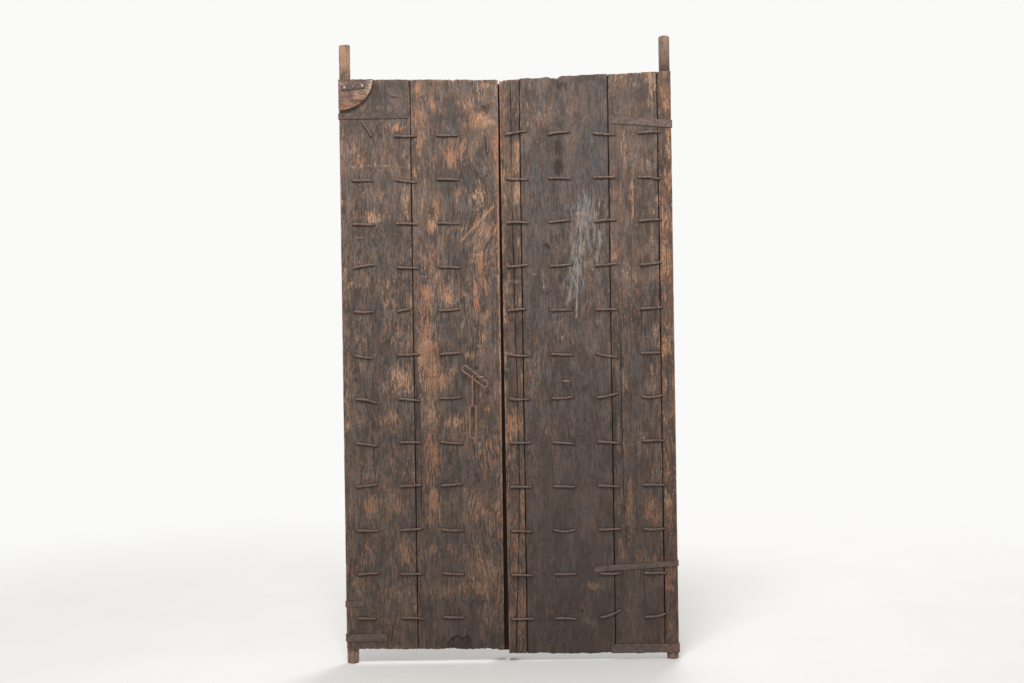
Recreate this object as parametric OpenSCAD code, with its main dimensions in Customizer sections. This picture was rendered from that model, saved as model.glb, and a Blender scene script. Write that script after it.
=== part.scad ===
// A pair of old plank door leaves, shut, seen from the inner side.
// Each leaf turns on round pivots cut on its outer edge, and hangs in sockets instead of hinges.
// +Z is up, the plain inner face looks towards -Y, and the rails are on the +Y side.
// The origin is the foot of the right leaf's pivot.

/* [Left leaf] */
// Width of the outer plank, which carries the pivots
left_outer_w = 246; // [200:1:320]
// Width of the plank at the meeting edge
left_inner_w = 303.5; // [250:1:380]
// Height of the leaf's foot above the origin, at the outer edge
left_foot_z = 49; // [20:1:60]
// How much lower the foot is at the meeting edge
left_foot_drop = 7; // [0:1:15]
// Height of the leaf's head above the origin, at the outer edge
left_head_z = 2024; // [1650:1:2450]
// How much lower the head is at the meeting edge
left_head_drop = 8; // [0:1:20]
// How much the meeting edge leans away from the other leaf, head to foot
left_meeting_lean = 6; // [0:0.5:10]
// Length of the head pivot above the leaf
left_pivot_l = 119; // [60:1:160]

/* [Right leaf] */
// Width of the stile, which carries the pivots
stile_w = 47; // [42:1:70]
// Width of the outer plank
right_outer_w = 170; // [140:1:220]
// Width of the middle plank
right_middle_w = 304; // [250:1:380]
// Width of the narrow plank at the meeting edge
right_meeting_w = 68; // [60:1:100]
// Height of the leaf's foot above the origin, at the outer edge
right_foot_z = 19; // [12:1:40]
// How much higher the foot is at the meeting edge
right_foot_rise = 7; // [0:1:15]
// Height of the leaf's head above the origin, at the outer edge
right_head_z = 2037; // [1650:1:2450]
// How much lower the head is at the meeting edge
right_head_drop = 24; // [0:1:40]
// How much the meeting edge leans away from the other leaf, head to foot
right_meeting_lean = 5; // [0:0.5:10]
// Length of the head pivot above the leaf
right_pivot_l = 122; // [60:1:160]

/* [Both leaves] */
// Thickness of every plank
plank_t = 34; // [26:1:38]
// Width of the open joints between planks
plank_gap = 1.5; // [0.5:0.5:4]
// Depth of those joints; behind them the planks meet
joint_depth = 12; // [6:1:14]
// Gap between the leaves at the head
meeting_gap = 5; // [3:0.5:12]
// Radius of the four pivots
pivot_r = 19.5; // [17:0.5:22]

/* [Decay] */
// Width of the rotted hollow in the foot of the left leaf
rot_w = 88; // [60:1:110]
// Height of the hollow
rot_h = 52; // [30:1:60]
// Depth of the hollow
rot_depth = 9; // [5:1:14]
// Distance of the hollow's middle from the meeting edge
rot_in = 163; // [120:1:200]
// Width of the notch in the head of the right leaf
notch_w = 27; // [10:1:40]
// Depth of the notch
notch_h = 6; // [3:1:12]
// Distance of the notch's middle from the middle plank's left edge
notch_in = 118; // [40:1:240]

/* [Rails and cover strip] */
// Number of rails on each leaf
rail_count = 12; // [10:1:12]
// Height of a rail
rail_h = 70; // [50:1:80]
// Thickness of a rail
rail_t = 30; // [24:1:36]
// Width of the sloping edges of a rail
rail_bevel = 8; // [2:1:10]
// Height of the left leaf's lowest row of nails and rail
left_first_row = 158; // [120:1:180]
// Distance of the left leaf's top row from its head
left_top_row_in = 199.5; // [180:0.5:240]
// Height of the right leaf's lowest row of nails and rail
right_first_row = 148; // [120:1:180]
// Distance of the right leaf's top row from its head
right_top_row_in = 213.7; // [190:0.1:260]
// Distance from a leaf's outer edge to the end of its rails
rail_inset = 30; // [26:1:40]
// Width of the strip that covers the meeting joint
strip_w = 80; // [76:1:100]
// Thickness of the cover strip
strip_t = 45; // [38:1:60]
// How far the cover strip laps past the right leaf's meeting edge
strip_lap = 32; // [20:1:34]
// Length of the tongue that each right rail has in the cover strip
tongue_l = 13; // [8:1:16]
// Height of that tongue
tongue_h = 38; // [24:1:44]
// Thickness of that tongue
tongue_t = 16; // [10:1:18]

/* [Nails] */
// Radius of a nail's shank
nail_r = 3; // [2:0.1:3.6]
// Length of the end that is bent over
clinch_l = 74; // [50:1:80]
// Radius of a nail's tip
nail_tip_r = 1.3; // [0.8:0.1:1.8]
// Radius of a nail's head
head_r = 9; // [6:0.5:11]
// Height of a nail's head
head_h = 5; // [3:0.5:6]
// Gap round a shank in its hole, and under its bent end
nail_fit = 0.2; // [0.1:0.1:0.4]

/* [Iron straps] */
// Thickness of the straps
strap_t = 3; // [2:0.5:4]
// Length of a strap's return on the far face
strap_return = 22; // [12:1:24]
// Gap between a strap and the edge that it wraps
strap_fit = 0.3; // [0.1:0.1:0.5]
// Radius of a strap nail's shank
tack_r = 1.8; // [1.2:0.1:2.2]
// Depth of a strap nail in the wood
tack_depth = 18; // [10:1:22]

/* [Corner board] */
// Width of the quarter-round board at the left head
corner_w = 120; // [90:1:150]
// Height of the quarter-round board
corner_h = 106; // [80:1:112]
// Thickness of the quarter-round board
corner_t = 14; // [8:1:18]

/* [Chain latch] */
// Radius of the rod that the links and staples are bent from
rod_r = 3; // [2.5:0.1:3.2]
// Distance between a link's two bars, centre to centre
link_w = 20; // [19:0.5:24]
// Length of the upper link
upper_link_l = 113; // [100:1:130]
// Length of the middle link
middle_link_l = 113; // [100:1:130]
// Length of the lower link
lower_link_l = 121; // [100:1:130]
// Distance between the lower link's bars, centre to centre
lower_link_w = 22; // [20:0.5:26]
// How far the upper link leans down to the right
link_lean = 38; // [34:1:44]
// Radius of a staple's bow
staple_r = 13; // [12.5:0.5:14]
// How far the left staple is below the middle of two rails
left_staple_drop = 5; // [0:0.5:20]
// Distance of the left staple from the meeting edge
left_staple_in = 74; // [60:1:90]
// How far the right staple is below the middle of two rails
right_staple_drop = 17.5; // [0:0.5:25]
// Distance of the right staple from the right leaf's pivot line
right_staple_in = 356; // [300:1:400]

/* [Hidden] */
$fn = 48;

// Leaf outlines
near_y = -pivot_r;
far_y = near_y + plank_t;
right_edge_x = pivot_r;
stile_x = right_edge_x - stile_w;
right_outer_x = stile_x - plank_gap - right_outer_w;
right_middle_x = right_outer_x - plank_gap - right_middle_w;
right_meeting_x = right_middle_x - plank_gap - right_meeting_w;
left_meeting_x = right_meeting_x - meeting_gap;
left_inner_x = left_meeting_x - left_inner_w;
left_edge_x = left_inner_x - plank_gap - left_outer_w;
left_axis_x = left_edge_x + pivot_r;
right_leaf_w = right_edge_x - right_meeting_x;
left_leaf_w = left_meeting_x - left_edge_x;
joint_fit = 0.3;
joint_lap = (plank_gap - joint_fit) / 2;
pivot_root = 2;
neck_gap = 1;
neck_r = pivot_r - 1.5;

// Rails, strip and nails
strip_x = right_meeting_x - strip_lap;
strip_rebate = 0.4;
strip_end_gap = 6;
left_rail_end = strip_x - 4;
rail_face_y = far_y + rail_t;
strip_face_y = far_y + strip_t;
tongue_fit = 0.3;
tongue_y = far_y + 6;
clinch_r = nail_r - 0.4;
clinch_off = clinch_r + nail_fit;
left_row_pitch = (left_head_z - left_top_row_in - left_first_row) / (rail_count - 1);
right_row_pitch = (right_head_z - right_top_row_in - right_first_row) / (rail_count - 1);

// Shank places, across the leaf
left_col_x = [left_edge_x + 43, left_inner_x - plank_gap - 53, left_inner_x + 89];
right_col_x = [right_meeting_x + 19, right_middle_x + 98, right_outer_x - plank_gap - 50,
               stile_x - plank_gap - 67];
odd_nail_x = left_edge_x + 112;
bent_nail_x = left_rail_end - 12;

// Slope of each bent end in degrees, a line for each row from the head down
LEFT_TILTS = [
    [124, -2, -1],
    [-1, -7, -3],
    [-3, -3, -3],
    [8, -3, -4],
    [-1, 8, 3],
    [-10, 1, 3],
    [-11, -6, 3],
    [-9, -1, -6],
    [7, 2, 3],
    [-1, 3, -3],
    [3, -1, -4],
    [-3, -4, -3]
];
RIGHT_TILTS = [
    [9, 5, -4, 1],
    [-3, -2, -1, -7],
    [-2, 4, 3, 2],
    [4, 4, 5, 6],
    [5, 0, 0, 3],
    [-4, -3, -10, 0],
    [-1, 4, 11, 4],
    [-1, -6, -5, 0],
    [-1, -3, -4, -1],
    [-3, 1, 1, 1],
    [-3, 0, 0, -1],
    [-1, -3, 20, 9]
];
// Nails that are shorter than the rest: row from the head, column, length
LEFT_SHORT = [[0, 0, 68], [4, 0, 65], [4, 1, 45], [5, 0, 63], [11, 0, 59]];
RIGHT_SHORT = [[4, 0, 62], [5, 3, 66]];

// Straps: [height at the edge, height at the inner end, length, width]
LEFT_STRAPS = [
    [left_head_z - 129, left_head_z - 129, 241, 21],
    [left_foot_z + 158, left_foot_z + 158, 62, 21],
    [left_foot_z + 41, left_foot_z + 41, 140, 25]
];
RIGHT_STRAPS = [
    [right_head_z - 184, right_head_z - 167, 208, 27],
    [right_row(rail_count - 2) + 31.7, right_row(rail_count - 2) + 14.7, 292, 20],
    [right_foot_z + 20, right_foot_z + 20, 233, 31]
];
TACK_PLACES = [0.12, 0.5, 0.88];
tack_head_r = 5;
tack_head_h = 2;
// Places of the three nails through the corner board and its strap
CORNER_TACKS = [for (t = [0:2]) [left_edge_x + 22 + 31 * t, left_head_z - 33 + 3 * t]];
corner_tack_depth = 14;

// Chain latch, as distances out from the near face
nail_clearance = 1.6;
tail_r = rod_r - 0.4;
loop_off = clinch_off + clinch_r + nail_clearance + rod_r + link_w / 2;
bar_off = loop_off - 0.7;
bow_fit = 0.7;
staple_shoulder = bar_off + 2 * rod_r + bow_fit - staple_r;
mid_row = floor(rail_count / 2);
left_staple_z = (left_row(mid_row - 1) + left_row(mid_row)) / 2 - left_staple_drop;
right_staple_z = (right_row(mid_row - 1) + right_row(mid_row)) / 2 - right_staple_drop;
left_staple_x = left_meeting_x - left_staple_in;
right_staple_x = -right_staple_in;
staple_tail_l = 22;
staple_shift = 16.7;
hook_shift = -3.4;
hook_fit = 1.4;
hook_drop = link_w / 2 - rod_r - rod_r / cos(link_lean) - hook_fit;
link_fit = 0.3;
upper_mid = [left_staple_x - staple_shift * cos(link_lean) - link_w / 2 * sin(link_lean),
             left_staple_z + staple_shift * sin(link_lean) - link_w / 2 * cos(link_lean)];
hook = [upper_mid[0] + hook_shift * cos(link_lean) - link_w / 2 * sin(link_lean),
        upper_mid[1] - hook_shift * sin(link_lean) - link_w / 2 * cos(link_lean)];
middle_head_z = hook[1] - hook_drop;
middle_foot_z = middle_head_z - (middle_link_l - link_w - 2 * rod_r);
lower_seat_z = middle_foot_z - link_w / 2;
lower_head_z = lower_seat_z + 2 * rod_r + link_fit - lower_link_w / 2;
lower_foot_z = lower_head_z - (lower_link_l - lower_link_w - 2 * rod_r);

left_rail_names = [for (i = [1:rail_count]) str("left_rail_", i < 10 ? "0" : "", i)];
right_rail_names = [for (i = [1:rail_count]) str("right_rail_", i < 10 ? "0" : "", i)];

// Heights of each leaf's foot and head at a place across it
function left_foot(x) = left_foot_z - left_foot_drop * (x - left_edge_x) / left_leaf_w;
function left_head(x) = left_head_z - left_head_drop * (x - left_edge_x) / left_leaf_w;
function right_foot(x) = right_foot_z + right_foot_rise * (right_edge_x - x) / right_leaf_w;
function right_head(x) = right_head_z - right_head_drop * (right_edge_x - x) / right_leaf_w;
left_foot_wall = left_foot(left_axis_x + 1.6 * pivot_r) - neck_gap;
function left_row(i) = left_first_row + left_row_pitch * (rail_count - 1 - i);
function right_row(i) = right_first_row + right_row_pitch * (rail_count - 1 - i);
function left_outline(x0, foot_x1, head_x1) =
    [[x0, left_foot(x0)], [foot_x1, left_foot(foot_x1)], [head_x1, left_head(head_x1)],
     [x0, left_head(x0)]];
function right_outline(foot_x0, head_x0, x1) =
    [[foot_x0, right_foot(foot_x0)], [x1, right_foot(x1)], [x1, right_head(x1)],
     [head_x0, right_head(head_x0)]];
function nail_length(list, i, j) =
    let (found = [for (s = list) if (s[0] == i && s[1] == j) s[2]])
    len(found) > 0 ? found[0] : clinch_l;
function left_nail_x(i, j) = i == 0 && j == 0 ? odd_nail_x : left_col_x[j];
function strap_height(s, t) = s[0] + (s[1] - s[0]) * t;

// A flat board between the near and the far face, from its outline in X and Z
module board(outline, thickness = plank_t, back = far_y) {
    translate([0, back, 0])
        rotate([90, 0, 0])
            linear_extrude(thickness)
                polygon(outline);
}

// A round bar along Y, from one depth to another
module bar_y(x, z, y0, y1, r) {
    translate([x, y0, z])
        rotate([-90, 0, 0])
            cylinder(h = y1 - y0, r = r);
}

// Opens the near side of a plank's joint, outward from x
module joint_opening(x, way) {
    translate([way > 0 ? x : x - joint_lap - 1, near_y - 1, -1])
        cube([joint_lap + 1, joint_depth + 1, max(left_head_z, right_head_z) + 10]);
}

module left_nail_holes(cols) {
    for (i = [0:rail_count - 1], j = cols)
        bar_y(left_nail_x(i, j), left_row(i), near_y - 1, strip_face_y + 1, nail_r + nail_fit);
}

module right_nail_holes(cols) {
    for (i = [0:rail_count - 1], j = cols)
        bar_y(right_col_x[j], right_row(i), near_y - 1, strip_face_y + 1, nail_r + nail_fit);
}

module bent_nail_hole() {
    bar_y(bent_nail_x, left_row(0), near_y - 1, rail_face_y + 1, nail_r + nail_fit);
}

// Holes of the strap nails; edge is the leaf's outer edge and way points into the leaf
module tack_holes(straps, edge, way) {
    for (s = straps, t = TACK_PLACES)
        bar_y(edge + way * s[2] * t, strap_height(s, t), near_y - strap_t - 1,
              near_y + tack_depth + 1, tack_r + nail_fit);
}

// Staple holes through a plank
module staple_holes(x, z) {
    for (side = [-1, 1])
        bar_y(x + side * staple_r, z, near_y - 1, far_y + 1, rod_r + nail_fit);
}

// The head and foot pivots of a leaf; a slightly thinner neck joins each to the leaf's end
module pivots(axis_x, foot_wall, foot_root, head_root, head_wall, length) {
    translate([axis_x, 0, 0]) {
        cylinder(h = foot_wall, r = pivot_r);
        translate([0, 0, foot_wall - 1])
            cylinder(h = foot_root - foot_wall + 1, r = neck_r);
        translate([0, 0, head_root])
            cylinder(h = head_wall - head_root + 1, r = neck_r);
        translate([0, 0, head_wall])
            cylinder(h = length, r = pivot_r);
    }
}

// Rotted hollow in the foot of the left leaf
module rot_hollow() {
    steps = 12;
    x = left_meeting_x - rot_in;
    arc = [for (k = [0:steps]) let (a = 180 * k / steps)
           [x + rot_w / 2 * cos(a), left_foot(x) + rot_h * sin(a)]];
    board(concat([[x - rot_w / 2, left_foot(x) - 5], [x + rot_w / 2, left_foot(x) - 5]], arc),
          rot_depth + 1, near_y + rot_depth);
}

// Notch in the head of the right leaf
module head_notch() {
    x = right_middle_x + notch_in;
    board([[x - notch_w / 2 + 4, right_head(x) - notch_h], [x + notch_w / 2 - 6, right_head(x) - notch_h],
           [x + notch_w / 2, right_head(x) + 3], [x - notch_w / 2, right_head(x) + 3]],
          plank_t + 2, far_y + 1);
}

module left_outer_plank() {
    x1 = left_inner_x - plank_gap;
    color("#4a3a30")
        difference() {
            union() {
                board(left_outline(left_edge_x, x1 + joint_lap, x1 + joint_lap));
                pivots(left_axis_x, left_foot_wall, left_foot_z + pivot_root,
                       left_head(left_edge_x + 2 * pivot_r) - pivot_root,
                       left_head_z + neck_gap, left_pivot_l);
            }
            joint_opening(x1, 1);
            left_nail_holes([0, 1]);
            tack_holes(LEFT_STRAPS, left_edge_x, 1);
            corner_tacks(tack_r + nail_fit, 1);
        }
}

module left_inner_plank() {
    color("#4f3d31")
        difference() {
            board(left_outline(left_inner_x - joint_lap, left_meeting_x - left_meeting_lean,
                               left_meeting_x));
            joint_opening(left_inner_x, -1);
            rot_hollow();
            left_nail_holes([2]);
            bent_nail_hole();
            staple_holes(left_staple_x, left_staple_z);
        }
}

module right_meeting_plank() {
    x1 = right_middle_x - plank_gap;
    color("#4c3b2f")
        difference() {
            board(right_outline(right_meeting_x + right_meeting_lean, right_meeting_x,
                                x1 + joint_lap));
            joint_opening(x1, 1);
            right_nail_holes([0]);
        }
}

module right_middle_plank() {
    x0 = right_middle_x - joint_lap;
    x1 = right_outer_x - plank_gap;
    color("#40342d")
        difference() {
            board(right_outline(x0, x0, x1 + joint_lap));
            joint_opening(right_middle_x, -1);
            joint_opening(x1, 1);
            head_notch();
            right_nail_holes([1, 2]);
            tack_holes(RIGHT_STRAPS, right_edge_x, -1);
            staple_holes(right_staple_x, right_staple_z);
        }
}

module right_outer_plank() {
    x0 = right_outer_x - joint_lap;
    x1 = stile_x - plank_gap;
    color("#4a392e")
        difference() {
            board(right_outline(x0, x0, x1 + joint_lap));
            joint_opening(right_outer_x, -1);
            joint_opening(x1, 1);
            right_nail_holes([3]);
            tack_holes(RIGHT_STRAPS, right_edge_x, -1);
        }
}

module right_pivot_stile() {
    x0 = stile_x - joint_lap;
    color("#4a3a30")
        difference() {
            union() {
                board(right_outline(x0, x0, right_edge_x));
                pivots(0, right_foot_z - neck_gap, right_foot(-pivot_r) + pivot_root,
                       right_head(-pivot_r) - pivot_root, right_head_z + neck_gap,
                       right_pivot_l);
            }
            joint_opening(stile_x, -1);
            tack_holes(RIGHT_STRAPS, right_edge_x, -1);
        }
}

// A rail with sloping edges, between two places across the leaf
module rail_bar(x0, x1, z) {
    half = rail_h / 2;
    translate([x0, far_y, z])
        rotate([90, 0, 90])
            linear_extrude(x1 - x0)
                polygon([[0, -half], [rail_t - rail_bevel, -half], [rail_t, rail_bevel - half],
                         [rail_t, half - rail_bevel], [rail_t - rail_bevel, half], [0, half]]);
}

module left_rail(i) {
    color("#3f3028")
        difference() {
            rail_bar(left_edge_x + rail_inset, left_rail_end, left_row(i));
            left_nail_holes([0, 1, 2]);
            if (i == 0) bent_nail_hole();
        }
}

module right_rail(i) {
    shoulder_x = strip_x + strip_w + tongue_fit;
    color("#3f3028")
        difference() {
            union() {
                rail_bar(shoulder_x, right_edge_x - rail_inset, right_row(i));
                translate([shoulder_x - tongue_l, tongue_y, right_row(i) - tongue_h / 2])
                    cube([tongue_l + 1, tongue_t, tongue_h]);
            }
            right_nail_holes([1, 2, 3]);
        }
}

// Strip over the meeting joint, with a mortise for each rail's tongue
module meeting_cover_strip() {
    right_x = strip_x + strip_w;
    lap_x = right_meeting_x + right_meeting_lean;
    z0 = right_foot(right_meeting_x) + strip_end_gap;
    z1 = right_head(right_meeting_x) - strip_end_gap;
    color("#3a2c25")
        difference() {
            translate([0, 0, z0])
                linear_extrude(z1 - z0)
                    polygon([[strip_x, far_y + strip_rebate], [lap_x, far_y + strip_rebate],
                             [lap_x, far_y], [right_x, far_y],
                             [right_x, strip_face_y - 19], [right_x - 8, strip_face_y - 7],
                             [right_x - 16, strip_face_y], [strip_x + 16, strip_face_y],
                             [strip_x + 8, strip_face_y - 7], [strip_x, strip_face_y - 19]]);
            right_nail_holes([0]);
            for (i = [0:rail_count - 1])
                translate([right_x - tongue_l - tongue_fit, tongue_y - tongue_fit,
                           right_row(i) - tongue_h / 2 - tongue_fit])
                    cube([tongue_l + 1, tongue_t + 2 * tongue_fit, tongue_h + 2 * tongue_fit]);
        }
}

module tack_head(x, z, face) {
    translate([x, face, z])
        rotate([90, 0, 0])
            cylinder(h = tack_head_h, r1 = tack_head_r, r2 = tack_head_r / 2);
}

// A nail driven from the far side, with its end bent over on the near face
module clinched_nail(x, z, back, length, tilt) {
    bend_y = near_y - clinch_off;
    translate([x, back, z])
        rotate([-90, 0, 0])
            cylinder(h = head_h, r1 = head_r, r2 = head_r / 2);
    bar_y(x, z, bend_y - clinch_r, back + 1, nail_r);
    translate([x, bend_y, z])
        rotate([0, 90 - tilt, 0])
            cylinder(h = length, r1 = clinch_r, r2 = nail_tip_r);
}

module left_nails() {
    color("#54423a")
        for (i = [0:rail_count - 1], j = [0:2])
            clinched_nail(left_nail_x(i, j), left_row(i), rail_face_y,
                          nail_length(LEFT_SHORT, i, j), LEFT_TILTS[i][j]);
}

module right_nails() {
    color("#54423a")
        for (i = [0:rail_count - 1], j = [0:3])
            clinched_nail(right_col_x[j], right_row(i), j == 0 ? strip_face_y : rail_face_y,
                          nail_length(RIGHT_SHORT, i, j), RIGHT_TILTS[i][j]);
}

module left_bent_nail() {
    color("#54423a")
        clinched_nail(bent_nail_x, left_row(0), rail_face_y, 65, -88);
}

// An iron strap on the near face, round the outer edge and back onto the far face
module strap(s, edge, way) {
    outer_x = edge - way * (strap_fit + strap_t);
    web_x = min(outer_x, outer_x + way * strap_t);
    return_x = min(outer_x, outer_x + way * strap_return);
    board([[outer_x, s[0] - s[3] / 2], [edge + way * s[2], s[1] - s[3] / 2],
           [edge + way * s[2], s[1] + s[3] / 2], [outer_x, s[0] + s[3] / 2]], strap_t, near_y);
    translate([web_x, near_y - strap_t, s[0] - s[3] / 2])
        cube([strap_t, plank_t + 2 * strap_t, s[3]]);
    translate([return_x, far_y, s[0] - s[3] / 2])
        cube([strap_return, strap_t, s[3]]);
}

module left_strap(k) {
    color("#5a3f35")
        difference() {
            strap(LEFT_STRAPS[k], left_edge_x, 1);
            tack_holes([LEFT_STRAPS[k]], left_edge_x, 1);
        }
}

module right_strap(k) {
    color("#4f3c35")
        difference() {
            strap(RIGHT_STRAPS[k], right_edge_x, -1);
            tack_holes([RIGHT_STRAPS[k]], right_edge_x, -1);
        }
}

module tack(x, z, face) {
    tack_head(x, z, face);
    bar_y(x, z, face - 1, face + tack_depth, tack_r);
}

// Shanks of the three nails that hold the corner board and its strap
module corner_tacks(r, extra) {
    for (p = CORNER_TACKS)
        bar_y(p[0], p[1], near_y - corner_t - strap_t - extra, near_y + corner_tack_depth + extra, r);
}

module left_strap_nails() {
    face = near_y - strap_t;
    color("#5d4a40") {
        for (s = LEFT_STRAPS, t = TACK_PLACES)
            tack(left_edge_x + s[2] * t, strap_height(s, t), face);
        corner_tacks(tack_r, 0.5);
        for (p = CORNER_TACKS)
            tack_head(p[0], p[1], face - corner_t);
    }
}

module right_strap_nails() {
    color("#5d4a40")
        for (s = RIGHT_STRAPS, t = TACK_PLACES)
            tack(right_edge_x - s[2] * t, strap_height(s, t), near_y - strap_t);
}

module left_corner_board() {
    steps = 16;
    top = left_head(left_edge_x + corner_w) - 2;
    arc = [for (k = [0:steps]) let (a = 90 * k / steps)
           [left_edge_x + corner_w * cos(a), top - corner_h * sin(a)]];
    color("#7a5a48")
        difference() {
            board(concat([[left_edge_x, top]], arc), corner_t, near_y);
            corner_tacks(tack_r + nail_fit, 1);
        }
}

module left_corner_strap() {
    color("#3d302b")
        difference() {
            board([[left_edge_x + 12, left_head_z - 43], [left_edge_x + 94, left_head_z - 36],
                   [left_edge_x + 94, left_head_z - 18], [left_edge_x + 12, left_head_z - 25]],
                  strap_t, near_y - corner_t);
            corner_tacks(tack_r + nail_fit, 1);
        }
}

// A staple with its bow off the near face and its legs turned out on the far face
module staple(x, z, shoulder) {
    bow_y = near_y - shoulder;
    for (side = [-1, 1]) {
        bar_y(x + side * staple_r, z, bow_y, far_y + nail_fit + 2 * tail_r, rod_r);
        translate([x + side * staple_r, far_y + nail_fit + tail_r, z])
            rotate([0, 90 * side, 0])
                cylinder(h = staple_tail_l, r1 = tail_r, r2 = nail_tip_r);
    }
    translate([x, bow_y, z])
        rotate([0, 0, 180])
            rotate_extrude(angle = 180)
                translate([staple_r, 0])
                    circle(r = rod_r);
}

module left_staple() {
    color("#6b5a52") staple(left_staple_x, left_staple_z, staple_shoulder);
}

module right_staple() {
    color("#5b4a42") staple(right_staple_x, right_staple_z, staple_shoulder - 5);
}

// A long chain link in the XZ plane, its middle at the origin and its length along X
module link(length, width) {
    half = (length - width) / 2 - rod_r;
    for (side = [-1, 1]) {
        translate([-half, 0, side * width / 2])
            rotate([0, 90, 0])
                cylinder(h = 2 * half, r = rod_r);
        translate([side * half, 0, 0])
            rotate([90, 0, 0])
                rotate([0, 0, -90 * side])
                    rotate_extrude(angle = 180)
                        translate([width / 2, 0])
                            circle(r = rod_r);
    }
}

module upper_link() {
    color("#7a5548")
        translate([upper_mid[0], near_y - bar_off, upper_mid[1]])
            rotate([0, link_lean, 0])
                link(upper_link_l, link_w);
}

module middle_link() {
    color("#6f5046")
        translate([hook[0], near_y - loop_off, (middle_head_z + middle_foot_z) / 2])
            rotate([0, 0, 90])
                rotate([0, 90, 0])
                    link(middle_link_l, link_w);
}

module lower_link() {
    color("#7d4a3c")
        translate([hook[0], near_y - loop_off, (lower_head_z + lower_foot_z) / 2])
            rotate([0, 90, 0])
                link(lower_link_l, lower_link_w);
}

left_outer_plank();
left_inner_plank();
left_corner_board();
left_corner_strap();
left_strap(0);  // left_top_strap
left_strap(1);  // left_low_strap
left_strap(2);  // left_foot_strap
left_nails();
left_bent_nail();
left_strap_nails();
left_staple();
upper_link();
middle_link();
lower_link();
right_meeting_plank();
right_middle_plank();
right_outer_plank();
right_pivot_stile();
meeting_cover_strip();
right_strap(0);  // right_top_strap
right_strap(1);  // right_low_strap
right_strap(2);  // right_foot_strap
right_nails();
right_strap_nails();
right_staple();
for (i = [0:rail_count - 1]) {
    left_rail(i);
    right_rail(i);
}
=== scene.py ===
import math
import bpy
import numpy as np
from mathutils import Matrix, Vector


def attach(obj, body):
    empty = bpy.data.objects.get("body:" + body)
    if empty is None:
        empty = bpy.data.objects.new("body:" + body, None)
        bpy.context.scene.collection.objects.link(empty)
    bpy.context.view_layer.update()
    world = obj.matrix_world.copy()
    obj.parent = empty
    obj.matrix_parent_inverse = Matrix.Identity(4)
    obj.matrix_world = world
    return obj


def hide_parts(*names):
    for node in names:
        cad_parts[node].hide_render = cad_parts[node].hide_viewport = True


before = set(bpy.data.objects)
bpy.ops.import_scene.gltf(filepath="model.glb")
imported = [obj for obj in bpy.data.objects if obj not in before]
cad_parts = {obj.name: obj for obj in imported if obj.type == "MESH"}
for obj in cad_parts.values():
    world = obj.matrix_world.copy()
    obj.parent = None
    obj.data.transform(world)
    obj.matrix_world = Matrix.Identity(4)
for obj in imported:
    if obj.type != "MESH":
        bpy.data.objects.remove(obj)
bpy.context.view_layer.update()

# A pair of old teak plank door leaves, seen from the plain inner side.
# Lengths are millimetres in the row frame until a mesh is made. A leaf's near face looks towards -Y.
MM = 0.001

# The CAD model's sizes
NEAR_Y, FAR_Y, RAIL_Y, STRIP_Y = -19.5, 14.5, 44.5, 59.5
PLANK_T = FAR_Y - NEAR_Y
JOINT_LAP = 0.74
LEFT_EDGE, LEFT_MEET, RIGHT_EDGE, RIGHT_MEET = -1130.0, -579.0, 19.5, -574.0
LEFT_LEAN, RIGHT_LEAN = 6.0, 5.0
LEFT_FOOT, LEFT_HEAD, RIGHT_FOOT, RIGHT_HEAD = 49.0, 2024.0, 19.0, 2037.0
PIVOT_R = 19.5
LEFT_AXIS = LEFT_EDGE + PIVOT_R
RAIL_COUNT = 12
LEFT_RAIL_END, RAIL_INSET, RAIL_H = -610.0, 30.0, 70.0
STRIP_X, STRIP_W = -606.0, 80.0


def left_foot(x):
    return sloping(x, LEFT_FOOT, -7.0, LEFT_EDGE, LEFT_MEET)


def left_head(x):
    return sloping(x, LEFT_HEAD, -8.0, LEFT_EDGE, LEFT_MEET)


def right_foot(x):
    return sloping(x, RIGHT_FOOT, 7.0, RIGHT_EDGE, RIGHT_MEET)


def right_head(x):
    return sloping(x, RIGHT_HEAD, -24.0, RIGHT_EDGE, RIGHT_MEET)


def sloping(x, at_edge, change, edge, meet):
    """A height that changes evenly from a leaf's outer edge to its meeting edge."""
    return at_edge + change * (x - edge) / (meet - edge)


def left_row(i):
    return row_height(i, 158.0, LEFT_HEAD - 199.5)


def right_row(i):
    return row_height(i, 148.0, RIGHT_HEAD - 213.7)


def row_height(i, lowest, highest):
    """Height of a rail and its row of nails, counted from the top."""
    return lowest + (highest - lowest) / (RAIL_COUNT - 1) * (RAIL_COUNT - 1 - i)


# Noise and small helpers

def noise(x, z, seed, octaves=1, gain=0.5):
    """Smooth seeded noise from -1 to 1; x and z are in cells."""
    table = np.random.RandomState(seed).rand(128, 128)
    x, z = np.broadcast_arrays(np.asarray(x, float), np.asarray(z, float))
    total, amp, weight = np.zeros(x.shape), 1.0, 0.0
    for _ in range(octaves):
        xi, zi = np.floor(x).astype(int), np.floor(z).astype(int)
        fx, fz = x - xi, z - zi
        fx, fz = fx * fx * (3 - 2 * fx), fz * fz * (3 - 2 * fz)
        a, b = table[xi % 128, zi % 128], table[(xi + 1) % 128, zi % 128]
        c, d = table[xi % 128, (zi + 1) % 128], table[(xi + 1) % 128, (zi + 1) % 128]
        total += amp * ((a * (1 - fx) + b * fx) * (1 - fz) + (c * (1 - fx) + d * fx) * fz)
        weight += amp
        amp *= gain
        x, z = x * 2.03 + 17.3, z * 2.03 + 5.9
    return total / weight * 2 - 1


def smooth(lo, hi, v):
    t = np.clip((v - lo) / (hi - lo), 0, 1)
    return t * t * (3 - 2 * t)


def unit(v):
    return v / np.maximum(np.linalg.norm(v, axis=1, keepdims=True), 1e-9)


def points(x, y, z):
    return np.stack([x, y, z], 1)


def around(sides):
    """The angles of so many places round a circle."""
    return np.arange(sides) / sides * 2 * math.pi


# Meshes

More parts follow.
